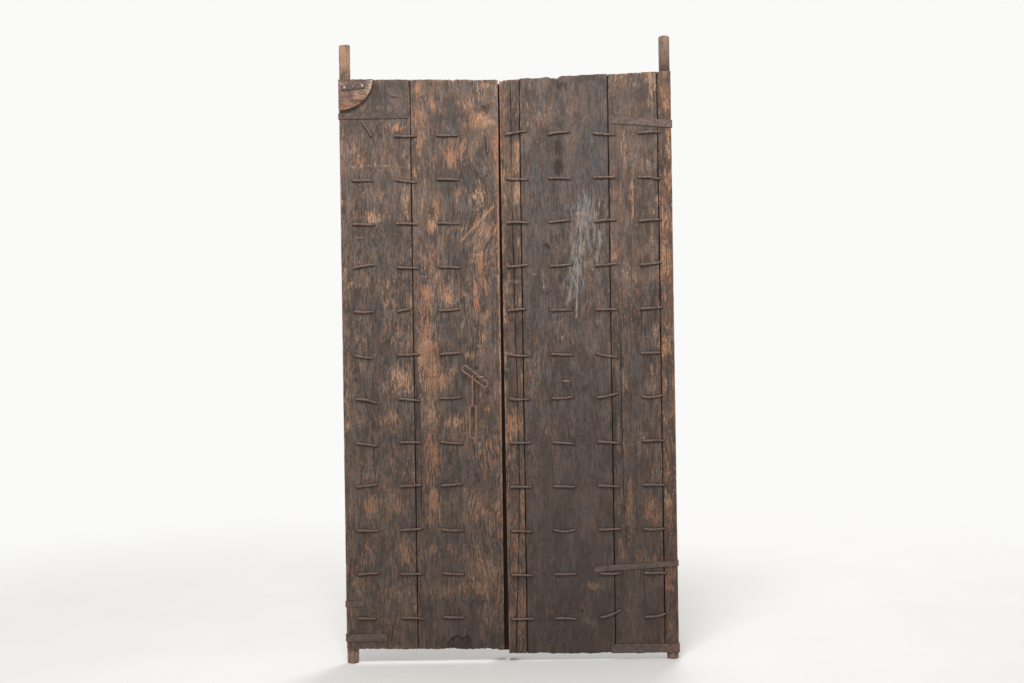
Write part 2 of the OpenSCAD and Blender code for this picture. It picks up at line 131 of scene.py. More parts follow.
def piece(name, made, body, nodes, material):
    """A mesh object of (verts, faces, values) that rides on a CAD body and stands for CAD nodes."""
    verts, faces, values = made
    mesh = bpy.data.meshes.new(name)
    mesh.from_pydata((np.asarray(verts) * MM).tolist(), [], faces)
    mesh.polygons.foreach_set("use_smooth", np.ones(len(mesh.polygons), bool))
    for key, data in values.items():
        data = np.asarray(data, np.float32)
        if data.ndim == 2:
            mesh.attributes.new(key, "FLOAT_VECTOR", "POINT").data.foreach_set("vector", data.ravel())
        else:
            mesh.attributes.new(key, "FLOAT", "POINT").data.foreach_set("value", data)
    mesh.materials.append(material)
    mesh.update()
    obj = bpy.data.objects.new(name, mesh)
    bpy.context.scene.collection.objects.link(obj)
    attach(obj, body)
    if nodes:
        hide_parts(*nodes)
    return obj


def joined(parts):
    """Several (verts, faces, values) as one."""
    verts, faces, values, base = [], [], {}, 0
    for v, f, a in parts:
        verts.append(v)
        faces += [[k + base for k in p] for p in f]
        for key, data in a.items():
            values.setdefault(key, []).append(data)
        base += len(v)
    return np.vstack(verts), faces, {k: np.concatenate(d) for k, d in values.items()}


def slab(us, vs, ts, coarse=1):
    """A closed box surface as (places in the box, faces), fine at t=0 and coarse behind."""
    us, vs, ts = np.asarray(us, float), np.asarray(vs, float), np.asarray(ts, float)
    nu, nv, nt = len(us), len(vs), len(ts)
    front = np.arange(nu * nv).reshape(nu, nv)
    gu, gv = np.meshgrid(us, vs, indexing="ij")
    verts = [np.stack([gu.ravel(), gv.ravel(), np.full(nu * nv, ts[0])], 1)]
    i, j = front[:-1, :-1].ravel(), front[1:, :-1].ravel()
    faces = np.stack([i, j, front[1:, 1:].ravel(), front[:-1, 1:].ravel()], 1).tolist()
    ring = [(a, 0) for a in range(nu - 1)] + [(nu - 1, b) for b in range(nv - 1)]
    ring += [(a, nv - 1) for a in range(nu - 1, 0, -1)] + [(0, b) for b in range(nv - 1, 0, -1)]
    count, base = len(ring), nu * nv
    level = np.empty((nt, count), int)
    level[0] = [front[a, b] for a, b in ring]
    ring_u, ring_v = us[[a for a, _ in ring]], vs[[b for _, b in ring]]
    for k in range(1, nt):
        level[k] = base + np.arange(count)
        verts.append(np.stack([ring_u, ring_v, np.full(count, ts[k])], 1))
        base += count
    nxt = np.roll(np.arange(count), -1)
    for k in range(nt - 1):
        faces += np.stack([level[k], level[k + 1], level[k + 1][nxt], level[k][nxt]], 1).tolist()
    place = {p: level[-1][n] for n, p in enumerate(ring)}
    cu = sorted(set(range(0, nu, coarse)) | {nu - 1})
    cv = sorted(set(range(0, nv, coarse)) | {nv - 1})
    inner = []
    for a in cu[1:-1]:
        for b in cv[1:-1]:
            place[(a, b)] = base
            inner.append((us[a], vs[b], ts[-1]))
            base += 1
    if inner:
        verts.append(np.array(inner))
    for a0, a1 in zip(cu, cu[1:]):
        for b0, b1 in zip(cv, cv[1:]):
            loop = [(a, b0) for a in range(a0, a1, 1 if b0 == 0 else a1 - a0)]
            loop += [(a1, b) for b in range(b0, b1, 1 if a1 == nu - 1 else b1 - b0)]
            loop += [(a, b1) for a in range(a1, a0, -1 if b1 == nv - 1 else a0 - a1)]
            loop += [(a0, b) for b in range(b1, b0, -1 if a0 == 0 else b0 - b1)]
            faces.append([place[p] for p in reversed(loop)])
    return np.vstack(verts), faces


def rounded(p, size, radius, power=2.0):
    """Points of a box surface with its edges rounded off, and the way each faces."""
    size = np.asarray(size, float)
    r = np.minimum(radius, size / 2 - 1e-3)
    q = np.clip(p, r, size - r)
    d = (p - q) / r
    n = d / np.maximum((np.abs(d) ** power).sum(1, keepdims=True) ** (1 / power), 1e-9)
    return q + n * r, unit(n / r)


def spaced(length, step, edge=(0.0, 0.6, 1.5, 3.0, 5.0), extra=()):
    """Places from 0 to length about step apart, closer at the ends and at each (place, half) of extra."""
    edge = [e for e in edge if e < length / 2 - 0.2]
    count = max(2, int(round((length - 2 * edge[-1]) / step)) + 1)
    inner = np.linspace(edge[-1], length - edge[-1], count)
    places = list(edge) + list(inner[1:-1]) + [length - e for e in reversed(edge)]
    for at, half in extra:
        places = [p for p in places if abs(p - at) > half * 1.9 or p in (0.0, length)]
        places += [at - 1.6 * half, at - 0.6 * half, at, at + 0.6 * half, at + 1.6 * half]
    return np.array(sorted(places))


def ring_faces(rings, sides, first=0, closed=False, turned=False):
    """Four-sided faces between rings of points, from the point first on."""
    faces = []
    for k in range(rings if closed else rings - 1):
        here, there = first + k * sides, first + (k + 1) % rings * sides
        for s in range(sides):
            t = (s + 1) % sides
            a, b, c, d = here + s, here + t, there + t, there + s
            faces.append([a, d, c, b] if turned else [a, b, c, d])
    return faces


def tube(path, radius, sides, squareness, twist=0.0, seed=0, rough=0.0, closed=False, roll=0.0):
    """A bar swept along points, with a radius at each and a section between round and square."""
    path = np.asarray(path, float)
    n = len(path)
    radius = np.broadcast_to(np.asarray(radius, float), (n,))
    if closed:
        along = unit(np.roll(path, -1, 0) - np.roll(path, 1, 0))
    else:
        along = unit(np.gradient(path, axis=0))
    side = np.cross(along[0], [0.13, 0.31, 0.94])
    if np.linalg.norm(side) < 0.2:
        side = np.cross(along[0], [1.0, 0.1, 0.0])
    frames = []
    for k in range(n):
        side = side - along[k] * side.dot(along[k])
        side = side / np.linalg.norm(side)
        frames.append((side, np.cross(along[k], side)))
    angle = around(sides)
    c, s = np.cos(angle), np.sin(angle)
    section = (np.abs(c) ** squareness + np.abs(s) ** squareness) ** (-1 / squareness)
    verts = []
    for k in range(n):
        a = angle + twist * k / max(1, n - 1) + roll
        r = radius[k] * section * (1 + rough * noise(c * 1.3 + 5, k * 0.7 + s * 1.3, seed, 2))
        verts.append(path[k] + np.outer(np.cos(a) * r, frames[k][0]) + np.outer(np.sin(a) * r, frames[k][1]))
    faces = ring_faces(n, sides, closed=closed)
    if not closed:
        faces.append(list(range(sides))[::-1])
        faces.append([(n - 1) * sides + s for s in range(sides)])
    return np.vstack(verts), faces


# Materials

PAINT_GREY, BURNT_AND_SHADE, DIRT_AND_SHADE_BROWN, GAP_AND_SHADE_DARK = (154, 149, 143), (42, 33, 29), (50, 38, 31), (18, 13, 10)
SLATE_DARK, SLATE_PALE, BARE_IRON_AND_HIGHLIGHT = (64, 58, 57), (102, 94, 91), (186, 176, 168)
COOL_TINT, WARM_TINT = (0.92, 1.0, 1.08, 1.0), (1.1, 0.98, 0.87, 1.0)


def srgb(r, g, b):
    """A linear colour from 0-255 values."""
    shares = [c / 255 for c in (r, g, b)]
    return tuple(c / 12.92 if c <= 0.04045 else ((c + 0.055) / 1.055) ** 2.4 for c in shares) + (1.0,)


class Nodes:
    """Short calls for building a material's node tree."""

    def __init__(self, name):
        self.material = bpy.data.materials.new(name)
        self.material.use_nodes = True
        self.tree = self.material.node_tree
        self.shader = next(n for n in self.tree.nodes if n.type == "BSDF_PRINCIPLED")

    def put(self, socket, value):
        if isinstance(value, bpy.types.NodeSocket):
            self.tree.links.new(value, socket)
        else:
            socket.default_value = value

    def attribute(self, name, vector=False):
        n = self.tree.nodes.new("ShaderNodeAttribute")
        n.attribute_name = name
        return n.outputs["Vector" if vector else "Fac"]

    def stretched(self, vector, scale, seed):
        n = self.tree.nodes.new("ShaderNodeMapping")
        self.put(n.inputs["Vector"], vector)
        n.inputs["Location"].default_value = (seed * 1.37 % 19, seed * 2.11 % 23, seed * 0.73 % 17)
        n.inputs["Scale"].default_value = scale
        return n.outputs[0]

    def noise(self, vector, scale, seed=0.0, detail=3.0, rough=0.55, warp=0.0):
        n = self.tree.nodes.new("ShaderNodeTexNoise")
        self.put(n.inputs["Vector"], self.stretched(vector, scale, seed))
        n.inputs["Scale"].default_value = 1.0
        n.inputs["Detail"].default_value = detail
        n.inputs["Roughness"].default_value = rough
        n.inputs["Distortion"].default_value = warp
        return n.outputs["Fac"]

    def math(self, op, a, b=0.0, c=0.0):
        n = self.tree.nodes.new("ShaderNodeMath")
        n.operation = op
        for socket, value in zip(n.inputs, (a, b, c)):
            self.put(socket, value)
        return n.outputs[0]

    def times(self, a, b):
        return self.math("MULTIPLY", a, b)

    def total(self, *terms):
        """The sum of (value, weight) terms."""
        out = None
        for value, weight in terms:
            out = self.math("MULTIPLY_ADD", value, weight, out if out is not None else 0.0)
        return out

    def band(self, value, low, high, out_low=0.0, out_high=1.0):
        n = self.tree.nodes.new("ShaderNodeMapRange")
        n.interpolation_type = "SMOOTHSTEP"
        for name, v in (("Value", value), ("From Min", low), ("From Max", high),
                        ("To Min", out_low), ("To Max", out_high)):
            self.put(n.inputs[name], v)
        return n.outputs[0]

    def mix(self, share, a, b, kind="MIX"):
        n = self.tree.nodes.new("ShaderNodeMix")
        n.data_type = "RGBA"
        n.blend_type = kind
        self.put(n.inputs[0], share)
        self.put(n.inputs[6], a)
        self.put(n.inputs[7], b)
        return n.outputs[2]

    def bump(self, height, distance):
        n = self.tree.nodes.new("ShaderNodeBump")
        n.inputs["Strength"].default_value = 1.0
        n.inputs["Distance"].default_value = distance
        self.put(n.inputs["Height"], height)
        self.put(self.shader.inputs["Normal"], n.outputs["Normal"])


def wood(name, seed, dark, mid, dull, bright, orange, worn_at, haze_at, gloss=0.0):
    """Old teak: a dark skin, worn through to paler wood in streaks along the grain.

    worn_at and haze_at are the levels of wear from which the pale wood and the dull haze show."""
    m = Nodes(name)
    g = m.attribute("grain", vector=True)
    worn, dirt, deep = m.attribute("worn"), m.attribute("dirt"), m.attribute("deep")
    paint, soot, slate = m.attribute("paint"), m.attribute("soot"), m.attribute("slate")
    fine = m.noise(g, (640, 640, 14), seed, 3, 0.6)
    band = m.noise(g, (190, 190, 21), seed + 1, 4, 0.66, 0.15)
    mottle = m.noise(g, (64, 64, 36), seed + 8, 5, 0.74)
    streak = m.noise(g, (165, 165, 30), seed + 2, 4, 0.68, 0.2)
    fleck = m.noise(g, (360, 360, 95), seed + 3, 2, 0.6, 0.4)
    patch = m.noise(g, (13, 13, 8), seed + 4, 3, 0.6)
    cloud = m.noise(g, (4.5, 4.5, 2.6), seed + 5, 2, 0.5)
    speck = m.noise(g, (700, 700, 240), seed + 6, 2, 0.5)
    line = m.noise(g, (270, 270, 24), seed + 9, 3, 0.62, 0.3)
    tone = m.total((fine, 0.2), (band, 0.4), (mottle, 0.38), (fleck, 0.2), (line, 0.32))
    base = m.mix(m.band(tone, 0.64, 0.85), srgb(*dark), srgb(*mid))
    between = [0.5 * a + 0.5 * b for a, b in zip(mid, dull)]
    base = m.mix(m.band(cloud, 0.35, 0.68, 0.0, 0.3), base, srgb(*between))
    shade = m.noise(g, (24, 24, 8), seed + 10, 4, 0.66)
    base = m.mix(m.band(shade, 0.4, 0.58, 0.6, 0.0), base, srgb(*dark))
    grey = m.band(m.total((slate, 0.8), (band, 0.9), (mottle, 0.9)), 1.05, 1.45)
    slaty = m.mix(m.band(tone, 0.62, 0.9), srgb(*SLATE_DARK), srgb(*SLATE_PALE))
    base = m.mix(m.times(grey, 0.8), base, slaty)
    level = m.total((streak, 0.75), (line, 0.75), (fleck, 0.55), (patch, 0.6), (worn, 0.36), (speck, 0.15),
                    (mottle, 0.25))
    haze = m.band(level, haze_at, haze_at + 0.18)
    rubbed = m.band(level, worn_at - 0.03, worn_at + 0.06)
    colour = m.mix(m.times(haze, 0.6), base, srgb(*dull))
    warm = m.band(m.noise(g, (9, 9, 6), seed + 7, 3, 0.6), 0.37, 0.57)
    pale = m.mix(warm, srgb(*bright), srgb(*orange))
    pale = m.mix(m.band(m.total((line, 0.5), (fleck, 0.5)), 0.43, 0.57, 0.7, 0.0), pale, srgb(*mid))
    colour = m.mix(m.times(rubbed, m.band(fleck, 0.3, 0.6, 0.55, 1.0)), colour, pale)
    scuff = m.noise(g, (140, 140, 210), seed + 11, 4, 0.75, 0.8)
    scuffed = m.band(m.total((scuff, 1.0), (patch, 0.3), (worn, 0.04)), 0.76, 0.83)
    colour = m.mix(m.times(scuffed, 0.7), colour, pale)
    ragged = m.total((streak, 1.1), (line, 0.7), (mottle, 0.5))
    smear = m.band(m.total((paint, 0.6), (ragged, 0.75), (fine, 0.25)), 1.15, 1.5)
    colour = m.mix(m.times(smear, m.band(paint, 0.02, 0.4, 0.0, 0.8)), colour, srgb(*PAINT_GREY))
    # Burnt marks and dark bands by the joints, with the painted shadow beside the loose bent nail
    burnt_and_shade = m.band(m.total((soot, 0.9), (ragged, 1.4)), 1.85, 2.35)
    burnt_and_shade = m.times(burnt_and_shade, m.band(soot, 0.02, 0.3))
    colour = m.mix(m.times(burnt_and_shade, 0.9), colour, srgb(*BURNT_AND_SHADE))
    hue = m.noise(g, (48, 48, 15), seed + 12, 5, 0.8)
    tint = m.mix(m.band(hue, 0.4, 0.6), COOL_TINT, WARM_TINT)
    colour = m.mix(1.0, colour, tint, "MULTIPLY")
    # Dark brown dirt, with painted shade under the nail ends, towards the floor and down the rails' sides
    colour = m.mix(m.times(dirt, 0.8), colour, srgb(*DIRT_AND_SHADE_BROWN))
    # Near black in gaps, cracks and holes, with painted shadow under the nail ends and the hollow's rim, and
    # painted shade where parts meet
    colour = m.mix(deep, colour, srgb(*GAP_AND_SHADE_DARK))
    m.put(m.shader.inputs["Base Color"], colour)
    m.put(m.shader.inputs["Roughness"],
          m.total((rubbed, 0.22), (fine, 0.2), (haze, 0.1), (1.0, 0.5 - gloss)))
    m.shader.inputs["Specular IOR Level"].default_value = 0.35
    m.bump(m.total((fine, 0.6), (streak, 0.35), (fleck, 0.3), (speck, 0.15), (rubbed, -0.12)), 0.0022)
    return m.material


def iron(name, seed, dark, mid, light, rust, rusty, metal, foot=0.0):
    """Hand-forged iron with a rusted, rubbed skin, darker by the share foot near the floor."""
    m = Nodes(name)
    at = m.tree.nodes.new("ShaderNodeTexCoord").outputs["Object"]
    red, bare = m.attribute("red"), m.attribute("bare")
    broad = m.noise(at, (60, 60, 60), seed, 3, 0.6)
    scale = m.noise(at, (320, 320, 320), seed + 1, 3, 0.62, 0.3)
    pits = m.noise(at, (1100, 1100, 1100), seed + 2, 2, 0.6)
    colour = m.mix(m.band(m.total((scale, 0.6), (broad, 0.4)), 0.38, 0.6), srgb(*dark), srgb(*mid))
    redness = m.total((broad, 0.75), (pits, 0.25), (red, 0.16))
    redness = m.band(redness, 0.62 - 0.25 * rusty, 0.8 - 0.25 * rusty)
    colour = m.mix(m.times(redness, 0.85), colour, srgb(*rust))
    rubbed = m.band(m.total((scale, 0.7), (pits, 0.3), (bare, 0.4)), 0.56, 0.68)
    colour = m.mix(m.times(rubbed, 0.75), colour, srgb(*light))
    if foot:
        height = m.tree.nodes.new("ShaderNodeSeparateXYZ")
        m.put(height.inputs[0], at)
        colour = m.mix(m.band(height.outputs[2], 0.0, 1.7, foot, 0.0), colour, srgb(*dark))
    # Whitish where the bare value is set: white paint on the corner tacks, and a painted highlight on the
    # staples' bows
    colour = m.mix(bare, colour, srgb(*BARE_IRON_AND_HIGHLIGHT))
    m.put(m.shader.inputs["Base Color"], colour)
    m.put(m.shader.inputs["Roughness"], m.total((m.band(scale, 0.3, 0.7, 0.52, 0.8), 1.0), (bare, -0.3)))
    m.shader.inputs["Metallic"].default_value = metal
    m.bump(m.total((scale, 0.6), (pits, 0.4)), 0.0012)
    return m.material


# Planks

# Places where the near face is worn pale: (x, z, half width, half height, how strong)
WORN = {
    "left_outer": [
        (-1079, 1772, 41, 52, 0.55), (-1122, 1793, 9, 72, 0.6), (-933, 1853, 28, 14, 0.7),
        (-1015, 1768, 16, 14, 0.4), (-905, 1760, 12, 14, 0.7), (-890, 1723, 7, 16, 0.9),
        (-905, 1589, 14, 64, 0.8), (-1047, 1611, 3, 40, 0.4), (-1020, 1544, 24, 24, 0.85),
        (-987, 1545, 67, 9, 0.35), (-1118, 1312, 9, 164, 0.6), (-1073, 1398, 14, 16, 0.4),
        (-1111, 1312, 16, 26, 0.6), (-966, 1263, 26, 55, 0.6), (-948, 1236, 7, 10, 0.9),
        (-891, 1249, 5, 17, 0.9), (-1072, 1120, 16, 24, 0.5), (-932, 1118, 45, 52, 0.65),
        (-930, 989, 38, 60, 0.7), (-988, 960, 9, 17, 0.5), (-1073, 996, 22, 55, 0.4),
        (-982, 851, 36, 40, 0.6), (-1067, 849, 14, 36, 0.45), (-888, 810, 7, 48, 0.5),
        (-1112, 941, 12, 207, 0.6), (-1112, 544, 10, 190, 0.5), (-1046, 669, 29, 53, 0.3),
        (-965, 701, 7, 21, 0.4), (-1045, 547, 36, 38, 0.7), (-957, 546, 34, 38, 0.65),
        (-1055, 378, 48, 45, 0.55), (-941, 382, 41, 57, 0.6), (-1089, 270, 19, 22, 0.6),
        (-952, 230, 57, 60, 0.45), (-951, 54, 22, 9, 0.9), (-1119, 147, 9, 69, 0.3),
    ],
    "left_inner": [
        (-584, 1250, 5, 800, 0.9), (-850, 1990, 12, 24, 0.6), (-845, 1874, 22, 47, 0.45),
        (-809, 1940, 16, 19, 0.6), (-838, 1738, 3, 90, 0.5), (-854, 1797, 14, 31, 0.5),
        (-648, 1874, 53, 28, 0.85), (-690, 1936, 28, 34, 0.55), (-624, 1994, 38, 21, 0.5),
        (-589, 1800, 7, 210, 0.6), (-704, 1800, 16, 36, 0.6), (-750, 1744, 16, 28, 0.8),
        (-809, 1726, 12, 22, 0.6), (-861, 1714, 9, 10, 0.5), (-633, 1708, 12, 21, 0.6),
        (-650, 1618, 28, 48, 0.7), (-727, 1606, 9, 28, 0.6), (-798, 1586, 10, 52, 0.7),
        (-845, 1600, 9, 34, 0.5), (-634, 1490, 52, 38, 0.45), (-813, 1515, 14, 19, 0.8),
        (-713, 1498, 10, 10, 0.6), (-842, 1407, 31, 28, 0.5), (-820, 1403, 29, 52, 0.45),
        (-647, 1394, 19, 48, 0.7), (-635, 1440, 52, 64, 0.35), (-830, 1276, 21, 41, 0.8),
        (-763, 1264, 26, 31, 0.7), (-701, 1269, 19, 12, 0.6), (-666, 1251, 9, 64, 0.95),
        (-630, 1297, 10, 52, 0.5), (-636, 1201, 19, 24, 0.5), (-639, 1133, 17, 33, 0.35),
        (-831, 1041, 33, 138, 0.95), (-834, 1096, 26, 31, 1), (-686, 1062, 26, 16, 0.7),
        (-752, 1012, 12, 7, 0.9), (-789, 968, 24, 28, 0.6), (-603, 943, 7, 26, 0.6),
        (-623, 873, 16, 14, 0.4), (-828, 851, 28, 52, 0.8), (-753, 831, 38, 19, 0.55),
        (-825, 701, 22, 98, 0.7), (-824, 559, 19, 43, 1), (-831, 496, 19, 21, 0.8),
        (-661, 578, 36, 105, 0.5), (-626, 460, 14, 53, 0.65), (-824, 394, 10, 16, 0.7),
        (-762, 398, 7, 21, 0.6), (-658, 316, 43, 102, 0.6), (-652, 238, 16, 28, 0.6),
        (-668, 746, 14, 52, 0.5), (-790, 249, 40, 29, 0.45), (-826, 133, 9, 14, 0.6),
        (-643, 133, 12, 16, 0.6), (-592, 49, 9, 9, 0.9), (-599, 434, 7, 362, 0.45), (-623, 710, 24, 52, 0.6),
        (-642, 185, 43, 26, 0.4),
    ],
    "right_meeting": [
        (-575, 1751, 4, 259, 0.75), (-553, 1913, 10, 83, 0.4), (-515, 1759, 9, 78, 0.5),
        (-519, 1609, 10, 34, 0.7), (-560, 1604, 7, 60, 0.45), (-514, 1457, 7, 17, 0.8),
        (-536, 1316, 28, 7, 0.9), (-577, 1121, 7, 354, 0.7), (-555, 1328, 12, 78, 0.4),
        (-509, 1119, 9, 24, 0.55), (-544, 814, 29, 50, 0.6), (-557, 1062, 10, 9, 0.7),
        (-561, 1009, 7, 7, 0.7), (-513, 558, 12, 47, 0.9), (-541, 388, 24, 72, 0.55),
        (-562, 517, 5, 233, 0.5), (-534, 660, 24, 55, 0.35), (-534, 129, 31, 86, 0.4),
        (-504, 1293, 9, 147, 0.45),
    ],
    "right_middle": [
        (-448, 1991, 48, 17, 0.6), (-448, 1908, 47, 69, 0.5), (-476, 1860, 12, 10, 0.7),
        (-279, 1875, 19, 17, 0.3), (-223, 1921, 16, 12, 0.6), (-203, 1726, 10, 38, 0.6),
        (-312, 1691, 9, 12, 0.6), (-249, 1619, 17, 10, 0.8), (-299, 1546, 45, 9, 0.9),
        (-216, 1557, 21, 17, 0.6), (-253, 1650, 17, 17, 0.4), (-431, 1358, 2, 64, 0.8),
        (-448, 1337, 47, 5, 0.5), (-449, 1296, 47, 5, 0.55), (-282, 1225, 24, 19, 0.5),
        (-247, 1167, 12, 10, 0.7), (-358, 1119, 29, 9, 0.5), (-254, 1093, 47, 29, 0.45),
        (-470, 1003, 29, 40, 0.75), (-242, 1020, 16, 12, 0.55), (-465, 918, 14, 59, 0.4),
        (-432, 793, 7, 10, 0.8), (-216, 846, 12, 3, 0.8), (-281, 657, 12, 69, 0.55), (-267, 646, 5, 14, 0.7),
        (-299, 300, 5, 22, 0.8), (-275, 257, 43, 17, 0.95), (-431, 210, 12, 10, 0.6),
        (-344, 190, 14, 9, 0.6), (-425, 169, 26, 10, 0.95), (-298, 143, 16, 41, 0.7),
        (-457, 71, 43, 40, 0.5), (-374, 75, 33, 28, 0.3), (-509, 353, 5, 276, 0.3), (-304, 53, 90, 21, 0.25),
        (-218, 694, 9, 69, 0.35), (-212, 1022, 7, 52, 0.4), (-473, 1129, 14, 34, 0.35),
        (-420, 1093, 12, 17, 0.4),
    ],
    "right_outer": [
        (-163, 2018, 19, 14, 0.5), (-48, 2017, 24, 21, 0.7), (-49, 1951, 10, 45, 0.55),
        (-151, 1772, 17, 81, 0.5), (-121, 1581, 12, 88, 0.75), (-62, 1712, 21, 26, 0.5),
        (-183, 1686, 7, 26, 0.4), (-187, 1413, 10, 36, 0.7), (-144, 1513, 21, 60, 0.4),
        (-146, 1318, 24, 72, 0.35), (-73, 1258, 9, 28, 0.6), (-50, 1130, 9, 31, 0.6),
        (-61, 1004, 7, 22, 0.6), (-54, 947, 7, 34, 0.55), (-153, 952, 16, 24, 0.6),
        (-114, 1167, 10, 78, 0.35), (-182, 530, 5, 47, 0.7), (-142, 552, 14, 59, 0.75),
        (-142, 440, 12, 53, 0.5), (-67, 528, 24, 57, 0.5), (-179, 399, 10, 43, 0.65),
        (-62, 640, 14, 52, 0.4), (-157, 172, 7, 10, 0.8), (-126, 96, 22, 34, 0.6), (-87, 321, 28, 26, 0.3),
        (-163, 831, 21, 69, 0.35), (-88, 761, 21, 34, 0.35),
    ],
    "right_stile": [
        (1, 2084, 21, 64, 0.6), (1, 1951, 19, 52, 0.6), (8, 1782, 10, 55, 0.9), (6, 1645, 10, 40, 0.8),
        (-8, 1373, 21, 233, 0.55), (-13, 1078, 19, 41, 0.8), (-23, 956, 10, 47, 0.65),
        (-16, 836, 22, 34, 0.7), (-13, 709, 21, 86, 0.5), (-10, 528, 19, 78, 0.55), (-10, 260, 22, 52, 0.6),
        (-1, 105, 19, 45, 0.75), (2, 1347, 14, 104, 0.6), (-1, 398, 12, 52, 0.4),
    ],
}
# Sooty places and dark bands beside the joints, in the same form; (-622, 1778) is painted shadow and stain
# beside the bent nail
SOOT_AND_SHADE = {
    "left_inner": [
        (-629, 1917, 21, 16, 0.75), (-622, 1778, 5, 40, 0.7), (-699, 1536, 38, 17, 0.45),
        (-742, 67, 45, 28, 0.5), (-710, 712, 14, 52, 0.2), (-877, 1180, 4, 190, 0.5),
        (-876, 830, 6, 400, 0.65),
    ],
    "left_outer": [
        (-1088, 121, 47, 43, 0.3), (-956, 1957, 21, 17, 0.2), (-1114, 2000, 14, 24, 0.2),
    ],
    "right_middle": [
        (-353, 1990, 43, 24, 0.6), (-330, 1929, 19, 33, 0.4), (-384, 1861, 38, 29, 0.5),
        (-373, 1773, 22, 34, 0.85), (-374, 1711, 16, 34, 1), (-386, 1636, 16, 29, 0.5),
        (-416, 1433, 9, 9, 0.9), (-229, 1333, 10, 24, 0.4), (-334, 1591, 29, 16, 0.3),
    ],
    "right_meeting": [
        (-549, 1771, 12, 31, 0.4), (-551, 1483, 10, 26, 0.3),
    ],
    "right_outer": [
        (-73, 1627, 31, 31, 0.4), (-202, 90, 9, 52, 0.4), (-89, 132, 28, 60, 0.3), (-192, 830, 7, 330, 0.65),
        (-170, 860, 4, 260, 0.6),
    ],
}
# Smooth grey places, in the same form
SLATE = {
    "left_inner": [
        (-739, 1897, 14, 60, 0.95), (-742, 1837, 19, 10, 0.9), (-676, 1991, 10, 28, 0.4),
        (-722, 1668, 66, 21, 0.5), (-712, 1585, 62, 48, 0.4), (-752, 1409, 38, 10, 0.5),
        (-739, 1135, 55, 43, 0.5), (-743, 895, 50, 34, 0.6), (-739, 664, 60, 59, 0.4),
        (-772, 431, 45, 29, 0.6), (-752, 329, 52, 34, 0.6), (-819, 209, 41, 17, 0.5),
        (-755, 143, 52, 69, 0.5), (-706, 1019, 34, 21, 0.5),
    ],
    "left_outer": [
        (-932, 1960, 45, 48, 0.5), (-1003, 1671, 119, 28, 0.45), (-993, 1447, 100, 24, 0.5),
        (-988, 1366, 52, 40, 0.6), (-1013, 1233, 34, 52, 0.5), (-1013, 481, 17, 24, 0.5),
        (-1002, 736, 38, 45, 0.5), (-1043, 554, 48, 14, 0.3), (-994, 322, 24, 31, 0.5),
        (-933, 499, 34, 43, 0.4),
    ],
    "right_middle": [
        (-243, 1823, 52, 59, 0.9), (-271, 1701, 64, 81, 0.9), (-432, 1663, 59, 69, 0.7),
        (-407, 1540, 85, 67, 0.6), (-295, 1553, 52, 22, 0.3), (-457, 1415, 40, 55, 0.8),
        (-438, 1197, 45, 52, 0.5), (-311, 1158, 69, 28, 0.4), (-301, 964, 98, 55, 0.6),
        (-328, 868, 83, 34, 0.6), (-320, 652, 93, 164, 0.45), (-426, 524, 72, 172, 0.35),
        (-372, 382, 121, 38, 0.4), (-417, 257, 78, 43, 0.5), (-358, 137, 104, 34, 0.5),
        (-242, 1950, 45, 55, 0.5),
    ],
    "right_outer": [
        (-118, 1956, 59, 34, 0.5), (-84, 1845, 24, 48, 0.5), (-152, 1582, 26, 43, 0.3),
        (-112, 1029, 21, 60, 0.7), (-121, 874, 28, 43, 0.6), (-93, 589, 31, 34, 0.4),
        (-156, 271, 41, 26, 0.4), (-144, 676, 34, 34, 0.5),
    ],
}
# Smears of whitish paint: (x, z) of both ends, half width, how strong
PAINT = {
    "right_middle": [
        (-291, 1599, -272, 1468, 9, 0.35), (-264, 1544, -280, 1378, 10, 0.55),
        (-307, 1468, -315, 1379, 8, 0.6), (-231, 1481, -249, 1378, 6, 0.7), (-252, 1398, -274, 1350, 7, 0.5),
        (-318, 1392, -344, 1248, 5, 0.75), (-311, 1358, -319, 1185, 2.6, 0.9),
        (-287, 1402, -295, 1275, 4, 0.45), (-333, 1303, -354, 1231, 3, 0.5),
        (-236, 1578, -233, 1567, 4, 0.8), (-258, 1802, -258, 1795, 4, 0.6),
        (-295, 1861, -267, 1889, 1.6, 0.6), (-267, 1889, -273, 1916, 1.4, 0.5),
        (-296, 136, -275, 122, 9, 0.6), (-362, 337, -349, 330, 9, 0.35), (-229, 1322, -239, 1378, 3, 0.5),
        (-370, 282, -352, 75, 14, 0.12), (-282, 1560, -296, 1400, 34, 0.6),
        (-300, 1440, -335, 1270, 22, 0.6),
    ],
    "left_inner": [
        (-750, 1840, -730, 1830, 7, 0.4), (-862, 2007, -849, 1966, 6, 0.35),
        (-636, 1094, -629, 1069, 4, 0.45), (-644, 141, -638, 121, 7, 0.4), (-641, 1211, -631, 1183, 8, 0.25),
        (-656, 1142, -635, 1107, 8, 0.2),
    ],
    "left_outer": [
        (-893, 1732, -887, 1708, 5, 0.6), (-999, 477, -992, 449, 5, 0.35), (-1091, 271, -1081, 244, 6, 0.3),
        (-982, 432, -979, 422, 4, 0.3), (-960, 1671, -953, 1657, 7, 0.2),
    ],
    "right_outer": [
        (-127, 2011, -93, 1983, 9, 0.5), (-130, 2025, -113, 2004, 7, 0.35),
        (-149, 1376, -143, 1314, 7, 0.35), (-122, 1331, -116, 1279, 6, 0.3), (-59, 561, -59, 554, 4, 0.3),
    ],
    "right_meeting": [
        (-526, 1585, -512, 1567, 5, 0.5), (-504, 1126, -508, 1101, 4, 0.35),
    ],
}
